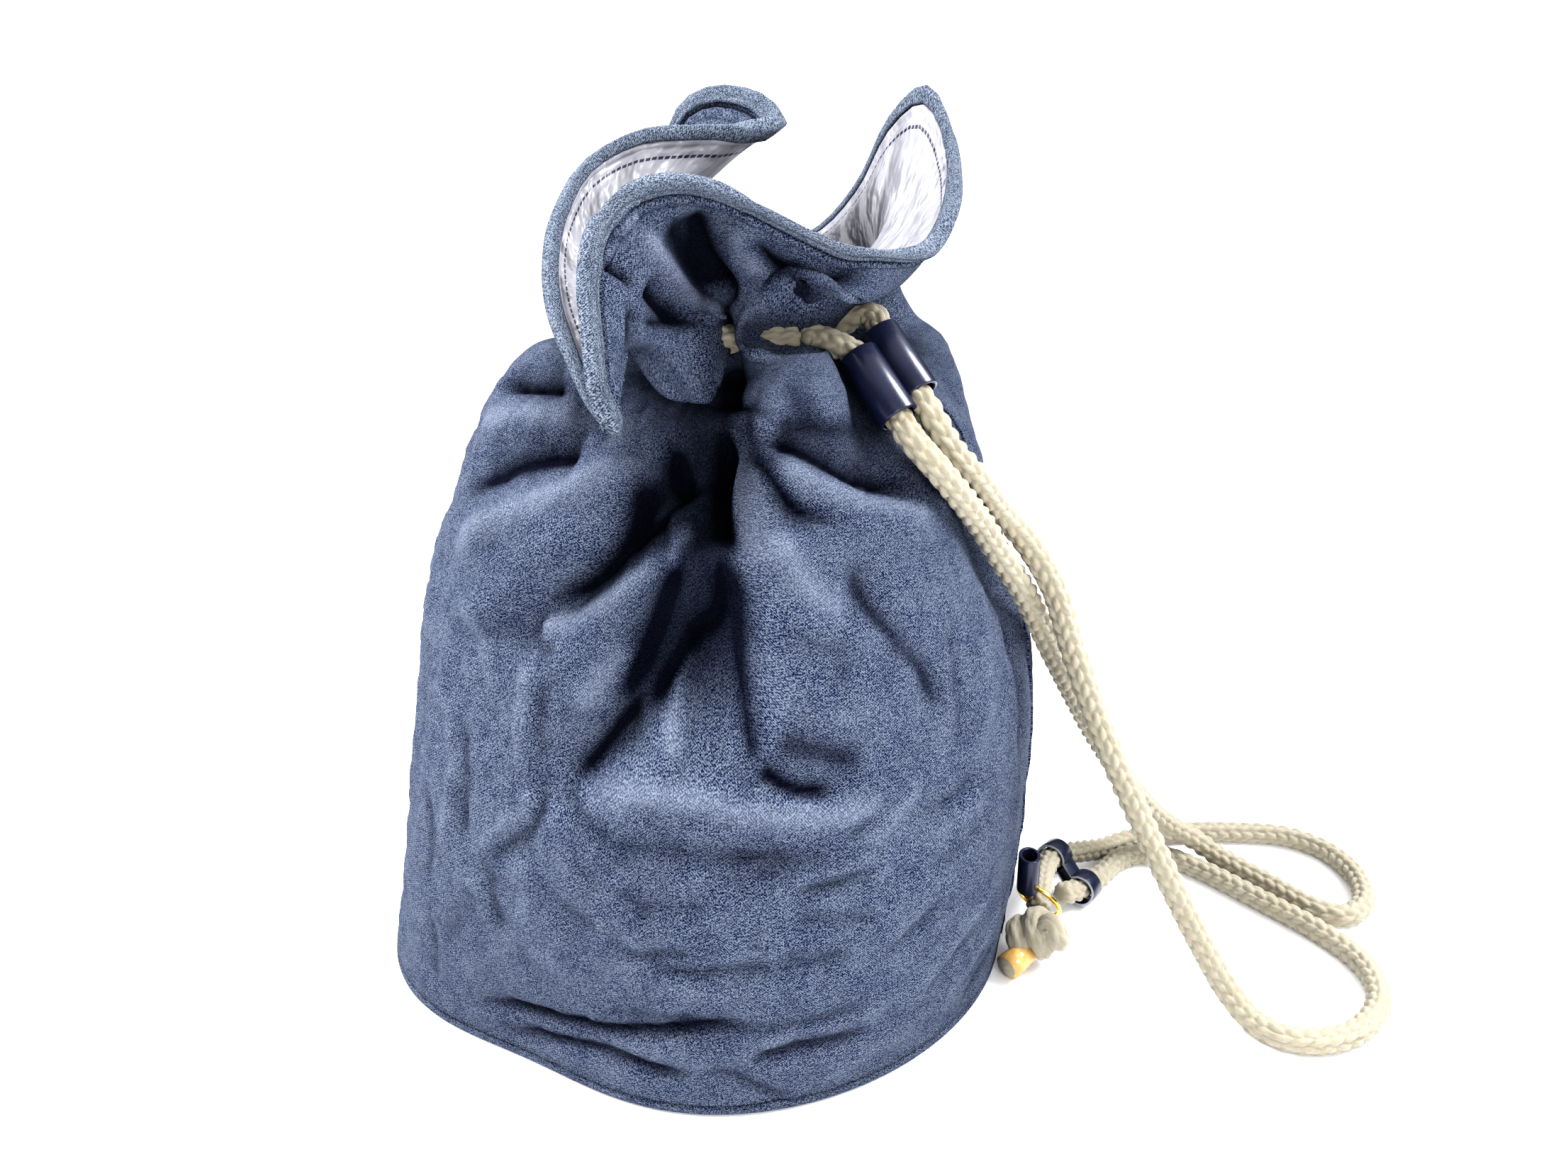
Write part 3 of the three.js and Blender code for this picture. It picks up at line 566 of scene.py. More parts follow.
navy_canvas = canvas_material("navy canvas", NAVY_DARK, NAVY_LIGHT)
navy_binding = canvas_material("navy binding", BINDING_DARK, BINDING_LIGHT)
navy_plain = canvas_material("navy base canvas", NAVY_DARK, NAVY_LIGHT, object_map)
white_satin = satin_material("white satin")
cream_cotton = rope_material("cream cotton")
cream_plain = rope_material("cut cotton", object_map)
navy_leather = grained_material(
    "navy leather", 0.22, (0.008, 0.011, 0.032), (0.024, 0.03, 0.065), grain=(1500, 3, 0.6),
    relief=(0.12, 0.0002), cloud=(120, 3), shine=(0.26, 0.42), Coat_Weight=0.3, Coat_Roughness=0.15,
)
leather_edge = grained_material(
    "leather edge", 0.45, (0.25, 0.27, 0.32), (0.5, 0.52, 0.56), grain=(900, 3, 0.6), relief=(0.2, 0.0002),
)
brass = grained_material(
    "brass", 0.18, (0.78, 0.52, 0.14), (0.95, 0.72, 0.28), grain=(800, 3, 0.6), relief=(0.05, 0.0002),
    shine=(0.12, 0.3), Metallic=1.0,
)
amber_tape = grained_material(
    "amber tape", 0.2, (0.5, 0.3, 0.09), (0.75, 0.55, 0.26), grain=(260, 4, 0.6), relief=(0.7, 0.0008),
    Coat_Weight=0.6, Coat_Roughness=0.1,
)

# The free rope
far_mesh, far_line, far_length = rope_mesh("rope_far_plaited", FAR_STRAND)
near_mesh, near_line, near_length = rope_mesh("rope_near_plaited", NEAR_STRAND)
rope_far = piece("rope_far_plaited", far_mesh, cream_cotton, "rope_far")
rope_near = piece("rope_near_plaited", near_mesh, cream_cotton, "rope_near")


# Body sections from the base seam to the shoulder: height as a share of NECK_HEIGHT, reach to the
# left, right, front and back as shares of BASE_RADIUS, and how far the gathers show in it
BODY_SECTIONS = [
    dict(up=0.0, left=0.99, right=0.995, front=0.995, back=1.0, gather=0),
    dict(up=0.12, left=0.945, right=1.025, front=0.985, back=1.01, gather=0),
    dict(up=0.26, left=0.905, right=1.045, front=0.975, back=1.01, gather=0),
    dict(up=0.42, left=0.86, right=1.055, front=0.945, back=0.99, gather=0.01),
    dict(up=0.57, left=0.82, right=1.035, front=0.905, back=0.95, gather=0.03),
    dict(up=0.71, left=0.77, right=0.975, front=0.85, back=0.87, gather=0.08),
    dict(up=0.83, left=0.735, right=0.97, front=0.78, back=0.78, gather=0.2),
    dict(up=0.92, left=0.73, right=0.98, front=0.7, back=0.67, gather=0.4),
    dict(up=0.965, left=0.7, right=0.98, front=0.58, back=0.54, gather=0.62),
]
BASE_DENT = dict(at=-30, half_width=26, depth=0.12)

# The eight holes that the rope runs through, by their place round the cloth and round the neck
HOLES = [
    dict(cloth=9, neck=-8, lobe=1, reach=0.75, rise=0.012),
    dict(cloth=54, neck=40, lobe=-1, reach=1, rise=0),
    dict(cloth=99, neck=86, lobe=1, reach=1.05, rise=0.02),
    dict(cloth=144, neck=146, lobe=-1, reach=1, rise=0),
    dict(cloth=189, neck=190, lobe=1, reach=0.9, rise=0),
    dict(cloth=234, neck=232, lobe=-1, reach=1, rise=0),
    dict(cloth=279, neck=266, lobe=1, reach=1.0, rise=0),
    dict(cloth=324, neck=318, lobe=-1, reach=1, rise=0),
]

# The mouth, one row for each turn of its edge: place of the edge, and of the cloth half way down
MOUTH = [
    (-0.15, -1.0, -0.24, -0.115, -0.74, 0.05), (-0.19, -1.02, -0.1, -0.075, -0.78, 0.03),
    (-0.205, -0.99, 0.05, -0.03, -0.785, 0.03), (-0.22, -0.95, 0.235, 0.005, -0.76, 0.08),
    (-0.2, -0.9, 0.39, 0.03, -0.7, 0.16), (-0.13, -0.85, 0.5, 0.06, -0.66, 0.22),
    (0.0, -0.8, 0.555, 0.1, -0.62, 0.25), (0.14, -0.74, 0.54, 0.17, -0.6, 0.25),
    (0.31, -0.7, 0.455, 0.3, -0.68, 0.2), (0.53, -0.66, 0.345, 0.46, -0.74, 0.13),
    (0.72, -0.56, 0.31, 0.6, -0.62, 0.12), (0.86, -0.42, 0.325, 0.7, -0.46, 0.15),
    (0.955, -0.22, 0.45, 0.76, -0.33, 0.2), (1.0, 0.0, 0.585, 0.79, -0.19, 0.26),
    (1.0, 0.2, 0.755, 0.8, -0.05, 0.33), (0.93, 0.41, 0.945, 0.79, 0.08, 0.4),
    (0.82, 0.58, 0.84, 0.76, 0.21, 0.41), (0.7, 0.72, 0.56, 0.69, 0.33, 0.34),
    (0.52, 0.86, 0.34, 0.57, 0.43, 0.25), (0.28, 0.9, 0.24, 0.41, 0.49, 0.21),
    (0.05, 0.82, 0.33, 0.25, 0.5, 0.24), (-0.11, 0.68, 0.62, 0.11, 0.47, 0.32),
    (-0.04, 0.51, 0.88, 0.0, 0.41, 0.4), (0.1, 0.4, 0.95, -0.06, 0.33, 0.45),
    (0.26, 0.32, 0.92, -0.08, 0.24, 0.46), (0.35, 0.16, 0.82, -0.08, 0.14, 0.45),
    (0.23, 0.01, 0.78, -0.1, 0.04, 0.43), (0.08, -0.02, 0.77, -0.15, -0.07, 0.4),
    (-0.15, -0.08, 0.74, -0.2, -0.2, 0.36), (-0.32, -0.22, 0.63, -0.26, -0.3, 0.3),
    (-0.39, -0.37, 0.475, -0.28, -0.4, 0.22), (-0.408, -0.51, 0.33, -0.27, -0.48, 0.16),
    (-0.383, -0.66, 0.14, -0.23, -0.55, 0.11), (-0.304, -0.8, -0.04, -0.2, -0.62, 0.08),
    (-0.229, -0.91, -0.18, -0.16, -0.68, 0.06),
]
MOUTH_TIP_CLOTH = -41
FAR_FOLD_CLOTH = -128
SIDE_SEAM_CLOTH = 79

# Folds drawn from the neck down and out: place at the upper and lower end in degrees round the
# cloth, heights as shares of NECK_HEIGHT, depth as a share of BASE_RADIUS, and flanks in degrees
FOLDS = [
    (8, 11, 1.05, 0.42, 0.2, 26, 4),
    (6, -22, 0.7, 0.4, 0.07, 9, 8),
    (-4, -32, 0.86, 0.6, 0.07, 8, 8),
    (20, 44, 0.93, 0.8, 0.035, 6, 6),
    (-20, -46, 0.8, 0.62, -0.05, 9, 8),
    (24, 20, 0.72, 0.46, -0.04, 12, 14),
    (-62, -72, 0.62, 0.16, 0.03, 7, 7),
    (42, 44, 1.12, 0.78, 0.16, 9, 15),
    (64, 70, 0.98, 0.5, 0.06, 9, 9),
    (150, 158, 0.98, 0.5, 0.1, 14, 12),
    (205, 196, 0.8, 0.4, 0.05, 10, 12),
    (252, 244, 0.98, 0.55, 0.09, 12, 12),
]
# Creases of the cloth: depth inwards, flank on the left and on the right of their run, all in
# millimetres, and their run as places round the cloth in degrees and rows up it
CREASES = [
    (9.8, 7.6, 4.8, [(-61, 7.08), (-49.5, 7.2), (-39.5, 7.28)]),
    (-4.2, 9.5, 8.5, [(-60, 6.36), (-46.5, 6.72), (-30, 6.68)]),
    (7, 8.5, 7.6, [(-58.5, 5.56), (-44.5, 6.04), (-34, 6.24), (-27, 6.32)]),
    (-8.4, 11.4, 9.5, [(-54.5, 4.92), (-42.5, 5.4), (-31, 5.72), (-22, 6), (-16, 6.44)]),
    (12.6, 11.4, 4.8, [
        (-14.5, 6.36), (-14.5, 5.8), (-15.5, 5.44), (-18.5, 5.16), (-24, 4.92), (-29.5, 4.76),
    ]),
    (-7, 7.6, 7.6, [(-30.5, 4.56), (-23.5, 4.56), (-15, 4.8), (-8, 5), (-1, 5.2)]),
    (5.6, 3.8, 3.8, [(-3.5, 5.6), (-11, 5.44), (-15, 5.28)]),
    (5.6, 6.6, 7.6, [(1, 5.2), (-3.5, 4.72), (-7.5, 4.28), (-12, 3.8)]),
    (7, 6.6, 5.7, [(10, 5.16), (9.5, 4.76), (4, 4.4), (-1, 4.04), (-6, 3.8)]),
    (7, 7.6, 4.8, [(-6, 3.88), (-11.5, 3.68), (-15.5, 3.44), (-19, 3.24)]),
    (-4.2, 5.7, 5.7, [(2.5, 5.48), (-1, 5.24), (-2, 5)]),
    (-4.2, 6.6, 7.6, [(4.5, 4.32), (0.5, 4), (0, 3.72), (3, 3.52)]),
    (-4.2, 7.6, 7.6, [(-10, 4.44), (-14.5, 4.08), (-17.5, 3.8)]),
    (4.2, 3.8, 1.9, [(12, 5.28), (12.5, 4.72), (12, 4.08), (12, 3.64), (12.5, 3.4)]),
    (5.6, 5.7, 3.8, [(12.5, 3.44), (14.5, 3.32), (18, 3.2), (24, 3.16)]),
    (8.4, 2.8, 5.7, [(12.5, 7.48), (13.5, 6.72), (14, 6.44), (16.5, 6.16), (20, 5.8), (28, 5.6)]),
    (14, 7.6, 4.8, [(13.5, 6.6), (20, 6.48), (27.5, 6.2), (35, 5.88), (49, 5.8)]),
    (-7, 7.6, 7.6, [(15.5, 6.36), (20.5, 6.08), (27.5, 5.84), (35, 5.72), (49, 5.36)]),
    (2.1, 2.8, 2.8, [(13, 7.16), (15, 6.96), (18.5, 6.84)]),
    (2.8, 6.6, 5.7, [(18, 6.8), (26.5, 6.72), (39.5, 6.4)]),
    (-4.2, 11.4, 11.4, [(16, 5.56), (18, 5.28), (22, 4.92), (27, 4.76)]),
    (4.2, 7.6, 7.6, [(27.5, 5.32), (30, 4.8), (33, 4.48), (39, 4), (42, 3.6)]),
    (-1.5, 6.4, 4.8, [(24.5, 4.52), (31, 4.48), (35.5, 4.2), (37, 3.84)]),
    (-1.2, 4, 3.2, [(67, 4.68), (56, 4.28), (53.5, 3.76), (54.5, 3.16)]),
    (1.8, 3.2, 4, [(70, 4.16), (66.5, 3.72), (67, 3.12), (66, 2.64)]),
    (1.2, 8, 8, [(15.5, 4.64), (19.5, 4.56), (24, 4.4), (22.5, 4.08)]),
    (-1, 7.2, 7.2, [(15.5, 4.2), (19.5, 3.92), (25.5, 3.88), (30.5, 4)]),
    (3.5, 11.4, 9.5, [(14.5, 3.72), (19.5, 3.6), (27.5, 3.4)]),
    (1.2, 4, 4, [(45, 4.56), (45.5, 4.08), (46, 3.6), (44.5, 3.24)]),
    (-1.5, 2.4, 3.2, [(-46, 4.76), (-39.5, 4.44), (-36.5, 4.12), (-33, 3.84)]),
    (-2.5, 3.2, 2.4, [(-27.5, 4.32), (-28, 4.08), (-28, 3.76), (-27.5, 3.48), (-26.5, 3.24)]),
    (1.8, 4, 5.6, [(-29.5, 4.6), (-26.5, 4.44), (-22.5, 4.32)]),
    (1.5, 4.8, 4.8, [(-25, 4.12), (-24.5, 3.72), (-23, 3.36)]),
    (-1.5, 3.2, 2.4, [
        (-66, 3.56), (-48.5, 3.64), (-45, 3.28), (-45.5, 2.8), (-47, 2.36), (-45, 2.16),
    ]),
    (2.1, 3.2, 6.4, [(-42, 3.68), (-40.5, 3.16), (-41.5, 2.68), (-42, 2.4)]),
    (-1, 3.2, 4, [(-45, 2.16), (-39.5, 2.08), (-36, 1.88)]),
    (1.8, 6.4, 4.8, [(-57, 1.2), (-54, 0.8), (-54, 0.32)]),
    (-2.5, 4, 3.2, [(-26, 3.2), (-25.5, 3), (-30, 2.8), (-39.5, 2.32)]),
    (2.1, 4, 5.6, [(-25, 3.16), (-22.5, 3.04), (-24, 2.88), (-30, 2.6), (-36, 2.28)]),
    (2.1, 5.6, 4, [(-34.5, 2.36), (-35, 2.08), (-34.5, 1.8), (-32.5, 1.56)]),
    (1.8, 4, 5.6, [(-19.5, 3.24), (-17, 3.08), (-12.5, 2.92), (-8.5, 2.76)]),
    (-1.2, 3.2, 4, [(-22.5, 3.2), (-20.5, 2.96), (-18, 2.68), (-18, 2.36)]),
    (-1.2, 6.4, 6.4, [(-25, 2.6), (-27.5, 2.24), (-27, 1.76), (-22, 1.52), (-17.5, 1.24)]),
    (-4.5, 7.2, 8.8, [
        (-18, 3.16), (-9.5, 3.24), (1.5, 3.24), (11, 3.08), (20, 3), (28.5, 3), (36, 3.04),
    ]),
    (1.8, 8, 9.6, [(-13.5, 2.8), (-1.5, 2.8), (9, 2.72), (19, 2.68)]),
    (1.5, 4.8, 4.8, [(-20.5, 2.2), (-15.5, 2.04), (-11.5, 1.96)]),
    (1.8, 3.2, 2.4, [(-10, 1.84), (-5.5, 1.8), (0, 1.84), (3.5, 1.84)]),
    (-1.2, 3.2, 4, [(-13, 2.08), (-9, 2), (-5, 1.88)]),
    (1.2, 4, 3.2, [(-6.5, 2.28), (0.5, 2.28), (6, 2.28)]),
    (1.8, 3.2, 2.4, [(-4, 1.68), (3, 1.64), (10, 1.68), (15, 1.64)]),
    (-1, 4, 4, [(-9.5, 1.56), (-2, 1.52), (5, 1.4), (13, 1.4)]),
    (1.2, 3.2, 3.2, [(14, 1.76), (20.5, 1.64), (27, 1.64)]),
    (4.8, 4, 2.4, [
        (-45, 0.4), (-34, 0.52), (-22, 0.64), (-12.5, 0.76), (-3.5, 0.88), (5, 1), (11, 1.04),
    ]),
    (1.8, 4, 4, [(-17, 1), (-6, 1.08), (5, 1.08), (14.5, 0.96), (25.5, 0.96), (33, 0.96)]),
    (4.2, 4, 2.4, [(-37.5, 0.16), (-25.5, 0.28), (-13, 0.44), (-4, 0.4), (3.5, 0.36)]),
    (2.1, 3.2, 3.2, [(3, 0.6), (9, 0.4), (14, 0.16), (18, 0)]),
    (-1.2, 3.2, 3.2, [(-13, 0.6), (-2.5, 0.64), (6, 0.56), (10, 0.64), (16.5, 0.84)]),
    (-1.2, 2.4, 3.2, [(9, 0.64), (16.5, 0.84), (24.5, 0.8), (30, 0.88), (38.5, 0.92)]),
    (3.6, 4, 3.2, [(10, 0.6), (16.5, 0.64), (22, 0.64), (30.5, 0.6)]),
    (-1, 3.2, 3.2, [(9, 0.52), (13.5, 0.32), (19, 0)]),
    (-1, 4, 3.2, [(21.5, 0), (25, 0.2), (31, 0.32), (39.5, 0.32)]),
    (-2.5, 3.2, 2.4, [(25.5, 2.64), (30, 2.76), (33.5, 2.92), (37.5, 3.12)]),
    (1.8, 4, 4, [(24, 2.72), (28.5, 2.92), (32.5, 3.08)]),
    (1.5, 4.8, 4, [(16, 2.16), (22.5, 2.04), (30.5, 1.96)]),
    (2.1, 2.4, 3.2, [(16, 2.36), (21, 2.36), (25.5, 2.4), (29, 2.44)]),
    (-1.2, 2.4, 3.2, [(15, 2.36), (21, 2.48), (26, 2.52), (30, 2.56)]),
    (-1.2, 2.4, 3.2, [(29, 2.28), (30.5, 2.4), (31.5, 2.6)]),
    (-1.2, 3.2, 3.2, [(29, 1.6), (34, 1.68), (38.5, 1.88), (42.5, 2.08)]),
    (1.5, 4, 4, [(31, 1.48), (37, 1.68), (43, 1.84)]),
    (-1.5, 2.4, 2.4, [(35.5, 0.96), (43, 1), (47.5, 1.24), (54.5, 1.44), (59, 1.68)]),
    (1.5, 3.2, 3.2, [(40, 0.8), (47.5, 1.04), (55.5, 1.2)]),
    (-1.5, 2.4, 2.4, [(44, 0.28), (48.5, 0.6), (53.5, 0.8), (60.5, 1), (64, 1.32)]),
    (1.8, 3.2, 3.2, [(51, 0.16), (59.5, 0.36), (65.5, 0.56)]),
    (1.2, 4.8, 4.8, [(3.5, 2.6), (10, 2.52), (16, 2.56)]),
    (-1, 3.2, 3.2, [(-0.5, 2.44), (5, 2.56), (11, 2.6), (16, 2.68)]),
    (1.5, 6.4, 6.4, [(-52, 0.96), (-44.5, 1.56), (-40, 2)]),
    (-1, 4, 4, [(-73.5, 1.52), (-64.5, 1.28), (-60, 0.88), (-57, 0.48)]),
    (-0.8, 4.8, 4.8, [(-46, 0.52), (-40, 1.08), (-32, 1.48)]),
    (1.5, 4.8, 4.8, [(36, 2.8), (43, 2.8), (50, 2.92)]),
    (-1, 4.8, 4, [(39, 2.56), (46.5, 2.6), (54.5, 2.68)]),
    (1.2, 4, 4, [(38, 2.24), (45.5, 2.28), (54, 2.44)]),
    (-1.2, 4.8, 4, [(25, 7.48), (28.5, 7), (30.5, 6.64)]),
    (1.2, 4, 4, [(21, 7.44), (23, 7.12), (26.5, 6.76)]),
    (-1.5, 4.8, 4.8, [(-58, 7.36), (-57, 7.8), (-53, 8.16)]),
    (24, 3, 15, [(10, 6.68), (10, 6.24), (10, 5.8), (11, 5.48), (12, 5.16)]),
    (-5, 12, 2, [(13, 7.88), (12.5, 6.68), (12.5, 5.96), (13, 5.48), (13, 4.92)]),
    (16, 9, 8, [(-10.5, 6.64), (-5, 6.12), (1, 5.72)]),
    (9, 4, 8, [(3, 8.44), (10.5, 7.4), (10.5, 6.8)]),
    (4, 5, 6, [(14.5, 9.6), (22, 9.96), (27.5, 10.2), (36, 10.28)]),
    (9, 5, 9, [(13, 10.52), (18.5, 10.4), (27, 10.48), (38.5, 10.76)]),
    (8.5, 2.5, 10, [(6, 10.78), (6, 10.44), (6, 10.14), (7, 9.84), (11, 9.56)]),
    (4, 9, 7, [(0, 10.7), (0, 10.3), (0, 9.95), (-5, 9.6)]),
    (-5, 6, 6, [(-7, 10.8), (-7.5, 10.4), (-7, 9.88), (-13.5, 9.48)]),
    (8, 5, 5, [(-12.5, 10.4), (-14.5, 10.12), (-15, 9.76)]),
    (4, 4, 2, [(-23, 10.32), (-18, 9.92), (-15.5, 9.64)]),
    (-3, 4, 4, [(-10.5, 10.84), (-7, 10.84), (-5.5, 10.8)]),
    (-3, 6, 6, [(11, 10.68), (13.5, 10.4), (15, 10)]),
    (1.8, 7.2, 7.2, [(-56, 2.72), (-54, 2.2), (-56.5, 1.56)]),
    (1.8, 9.6, 9.6, [(6, 2.68), (15, 2.64), (23, 2.64)]),
    (-1, 2.4, 2.4, [(3.5, 1.84), (10, 1.8), (17, 1.8)]),
    (-1, 2.4, 2.4, [(-45, 2.12), (-42.5, 1.84), (-45, 1.44)]),
    (1.5, 4, 4, [(-9, 2.44), (-5.5, 2.28), (-4, 2.08)]),
    (4, 1.5, 5, [(-38, 10.5), (-28, 10.5), (-18, 10.5)]),
    (4, 2, 3, [(-15.5, 10.86), (-15.5, 10.5)]),
]

WALL_FOOT = PIPING_DIAMETER + CLEARANCE
NECK_ROW = len(BODY_SECTIONS)
RIM_ROW = NECK_ROW + 2
COLLAR_ROW = 5 / 9 * MOUTH_RISE
HEM_ROW = RIM_ROW - BINDING_DEPTH / COLLAR_ROW
OUTER_FACE = CANVAS_THICKNESS / 2
LINING_MIDDLE = -OUTER_FACE - CLEARANCE - LINING_THICKNESS / 2


def base_reach(cloth):
    away = turn_between(BASE_DENT["at"], cloth) / BASE_DENT["half_width"]
    return BASE_RADIUS * (1 - BASE_DENT["depth"] * np.exp(-away * away))


mouth = np.array(MOUTH)
mouth_scale = np.array([MOUTH_SPREAD, MOUTH_SPREAD, MOUTH_RISE])
rim_points = mouth[:, :3] * mouth_scale + (0, 0, NECK_HEIGHT)
mid_points = mouth[:, 3:] * mouth_scale + (0, 0, NECK_HEIGHT)
rim_steps = np.linalg.norm(np.roll(rim_points, -1, axis=0) - rim_points, axis=1)
rim_marks = np.concatenate([[0], np.cumsum(rim_steps)])


def mouth_place(cloth):
    left = (cloth - MOUTH_TIP_CLOTH) % 360 * rim_marks[-1] / 360
    return np.interp(left, rim_marks, np.arange(len(rim_marks))) % len(rim_points)


def neck_points(cloth):
    place = (cloth - HOLES[0]["cloth"]) % 360
    index = np.minimum((place // 45).astype(int), len(HOLES) - 1)
    columns = {key: np.array([hole[key] for hole in HOLES]) for key in HOLES[0]}
    nexts = (index + 1) % len(HOLES)
    share = (place - 45 * index) / 45
    turn = turn_between(columns["neck"][index], columns["neck"][nexts])
    bulge = np.sin(math.pi * share)
    spread = 0.15
    angle = np.radians(columns["neck"][index] + turn * (share - spread * np.sin(2 * math.pi * share)))
    lobe = columns["lobe"][index]
    reach = np.where(lobe > 0, LOBE_REACH, INNER_REACH)
    radius = DRAWN_RADIUS + lobe * columns["reach"][index] * reach * np.maximum(bulge, 0) ** 0.75
    height = NECK_HEIGHT * (1 + columns["rise"][index] * bulge)
    aside = NECK_LEFT_SHIFT + radius * np.sin(angle)
    forward = -NECK_FRONT_SHIFT - radius * np.cos(angle)
    points = np.stack([aside, forward, height], axis=-1)
    return points, SHOULDER_SWELL * lobe * bulge


def meridians(cloth):
    """The wall's control points, from the base seam to the rim, at places round the cloth."""
    angle = np.radians(cloth)
    sine = np.sin(angle)
    cosine = np.cos(angle)
    neck, swell = neck_points(cloth)
    base = base_reach(cloth) / BASE_RADIUS
    rows = []
    for section in BODY_SECTIONS:
        side = np.where(sine > 0, section["right"], section["left"])
        face = np.where(cosine > 0, section["front"], section["back"])
        level = smooth(section["up"] / 0.45)
        dent = base + (1 - base) * level
        height = np.full_like(cloth, WALL_FOOT + (NECK_HEIGHT - WALL_FOOT) * section["up"])
        aside = BASE_RADIUS * side * sine * dent
        forward = -BASE_RADIUS * face * cosine * dent
        full = np.stack([aside, forward, height], axis=-1)
        drawn = np.stack([neck[:, 0], neck[:, 1], height + swell], axis=-1)
        rows.append(full + (drawn - full) * section["gather"])
    along = mouth_place(cloth)
    rows += [neck, through(mid_points, along, True), through(rim_points, along, True)]
    return np.stack(rows, axis=1)


def fold_depth(cloth, height):
    up = height / NECK_HEIGHT
    depth = np.zeros_like(height)
    for top_at, low_at, top, low, amount, left_flank, right_flank in FOLDS:
        share = (up - low) / (top - low)
        away = turn_between(low_at + (top_at - low_at) * share, cloth)
        across = away / np.where(away < 0, left_flank, right_flank)
        ends = smooth(share / 0.35) * smooth((1 - share) / 0.25)
        depth += amount * BASE_RADIUS * ends * np.exp(-across * across)
    return depth


# Larger moves of the cloth beside the rope: middle and half width round the cloth in degrees and
# up it in rows, and the move to the right, to the back and up in millimetres
SHIFTS = [
    (38, 18, 9.34, 0.36, 0, 30, -3),
    (38, 15, 8.8, 0.45, 0, 3, -9),
    (36, 16, 9.75, 0.25, 0, 0, 7),
    (-31, 11, 9.1, 0.4, 0, -17, -5),
    (-26, 13, 8.6, 0.4, 0, -10, 3),
    (-34, 13, 9.55, 0.3, 3, -3, -20),
]


def shifted(points, cloth, rows):
    for place, half_place, row, half_row, *move in SHIFTS:
        across = np.exp(-(turn_between(place, cloth) / half_place) ** 4)
        upward = np.exp(-((rows - row) / half_row) ** 2)
        points = points + (upward[:, None] * across[None, :])[..., None] * np.array(move) * 0.001
    return points


def bare_wall(cloth, rows):
    """The drum and the gathers without any folds, a grid of rows by places round the cloth."""
    return shifted(np.swapaxes(through(meridians(cloth), rows), 0, 1), cloth, rows)


# Steps round the cloth in degrees and up it in rows, over which its slope is taken
CLOTH_STEP = 0.8
ROW_STEP = 0.05


def frames_of(surface, cloth, rows):
    """Points of a surface with the directions along the cloth, up it and out of it."""
    low = np.maximum(rows - ROW_STEP, 0)
    high = np.minimum(rows + ROW_STEP, RIM_ROW)
    along = unit(surface(cloth + CLOTH_STEP, rows) - surface(cloth - CLOTH_STEP, rows))
    upward = unit(surface(cloth, high) - surface(cloth, low))
    return surface(cloth, rows), along, upward, unit(np.cross(along, upward))


def bare_frames(cloth, rows):
    points, _, _, outward = frames_of(bare_wall, cloth, rows)
    return points, outward


def crease_line(places):
    """A crease's run as points on the bare wall, with the window of cloth that it crosses."""
    marks = np.array(places, float)
    fine = through(marks, np.linspace(0, len(marks) - 1, 5 * len(marks)))
    line = np.array([bare_wall(place[:1], place[1:])[0, 0] for place in fine])
    return line, fine.min(axis=0), fine.max(axis=0)


CREASE_LINES = [crease_line(places) for _, _, _, places in CREASES]
# How far a crease reaches past its run, in degrees and in rows, the share of its run over which it
# fades, how steeply its flanks fall, and the width of the line of painted shade down its middle, painted
# highlight where it stands out, in metres and in flanks
CREASE_MARGIN = (20, 1.2)
CREASE_FADE = 0.22
CREASE_FALL = 1.4
PAINTED_LINE_WIDTH = 0.0016
PAINTED_LINE_SHARE = 0.25


def crease_depth(points, out, cloth, rows):
    """How far each point of the cloth is drawn in by the creases, in metres, and how much painted shade it
    gets, below zero for painted highlight on a raised crease.
    """
    depth = np.zeros(points.shape[:2])
    mark = np.zeros(points.shape[:2])
    for (amount, left_flank, right_flank, _), (line, low, high) in zip(CREASES, CREASE_LINES):
        middle = (low[0] + high[0]) / 2
        near_cloth = np.abs(turn_between(middle, cloth)) < (high[0] - low[0]) / 2 + CREASE_MARGIN[0]
        near_rows = (rows > low[1] - CREASE_MARGIN[1]) & (rows < high[1] + CREASE_MARGIN[1])
        picks = np.ix_(near_rows, near_cloth)
        some = points[picks]
        if some.size == 0:
            continue
        steps = line[1:] - line[:-1]
        offset = some[:, :, None, :] - line[:-1]
        share = np.clip((offset * steps).sum(-1) / (steps * steps).sum(-1), 0, 1)
        miss = offset - share[..., None] * steps
        away = np.linalg.norm(miss, axis=-1)
        index = away.argmin(axis=-1)
        nearest = np.take_along_axis(away, index[..., None], -1)[..., 0]
        across = np.take_along_axis(miss, index[..., None, None], 2)[:, :, 0]
        place = (index + np.take_along_axis(share, index[..., None], -1)[..., 0]) / len(steps)
        side = (np.cross(out[picks], steps[index]) * across).sum(-1)
        flank = np.where(side > 0, left_flank, right_flank) * 0.001
        ends = smooth(place / CREASE_FADE) * smooth((1 - place) / CREASE_FADE)
        depth[picks] += amount * 0.001 * ends * np.exp(-((nearest / flank) ** CREASE_FALL))
        # Painted shade down the middle of an inward crease, painted highlight along one that stands out
        narrow = PAINTED_LINE_WIDTH + flank * PAINTED_LINE_SHARE
        mark[picks] += np.clip(amount / 4, -1, 1.5) * ends * np.exp(-((nearest / narrow) ** 2))
    return depth, mark


# The stitched groove under the binding and the welt below it: width and distance in rows, how far
# each goes in or out in metres, and how much painted shade each has, the welt's just below it
GROOVE_WIDTH = 0.014
WELT = 0.05
GROOVE_DEPTH = 0.0009
WELT_HEIGHT = 0.0006
GROOVE_SHADE = 1.3
WELT_SHADE = 0.6


def hem_groove(rows):
    return np.exp(-((rows - HEM_ROW + 0.02) / GROOVE_WIDTH) ** 2)


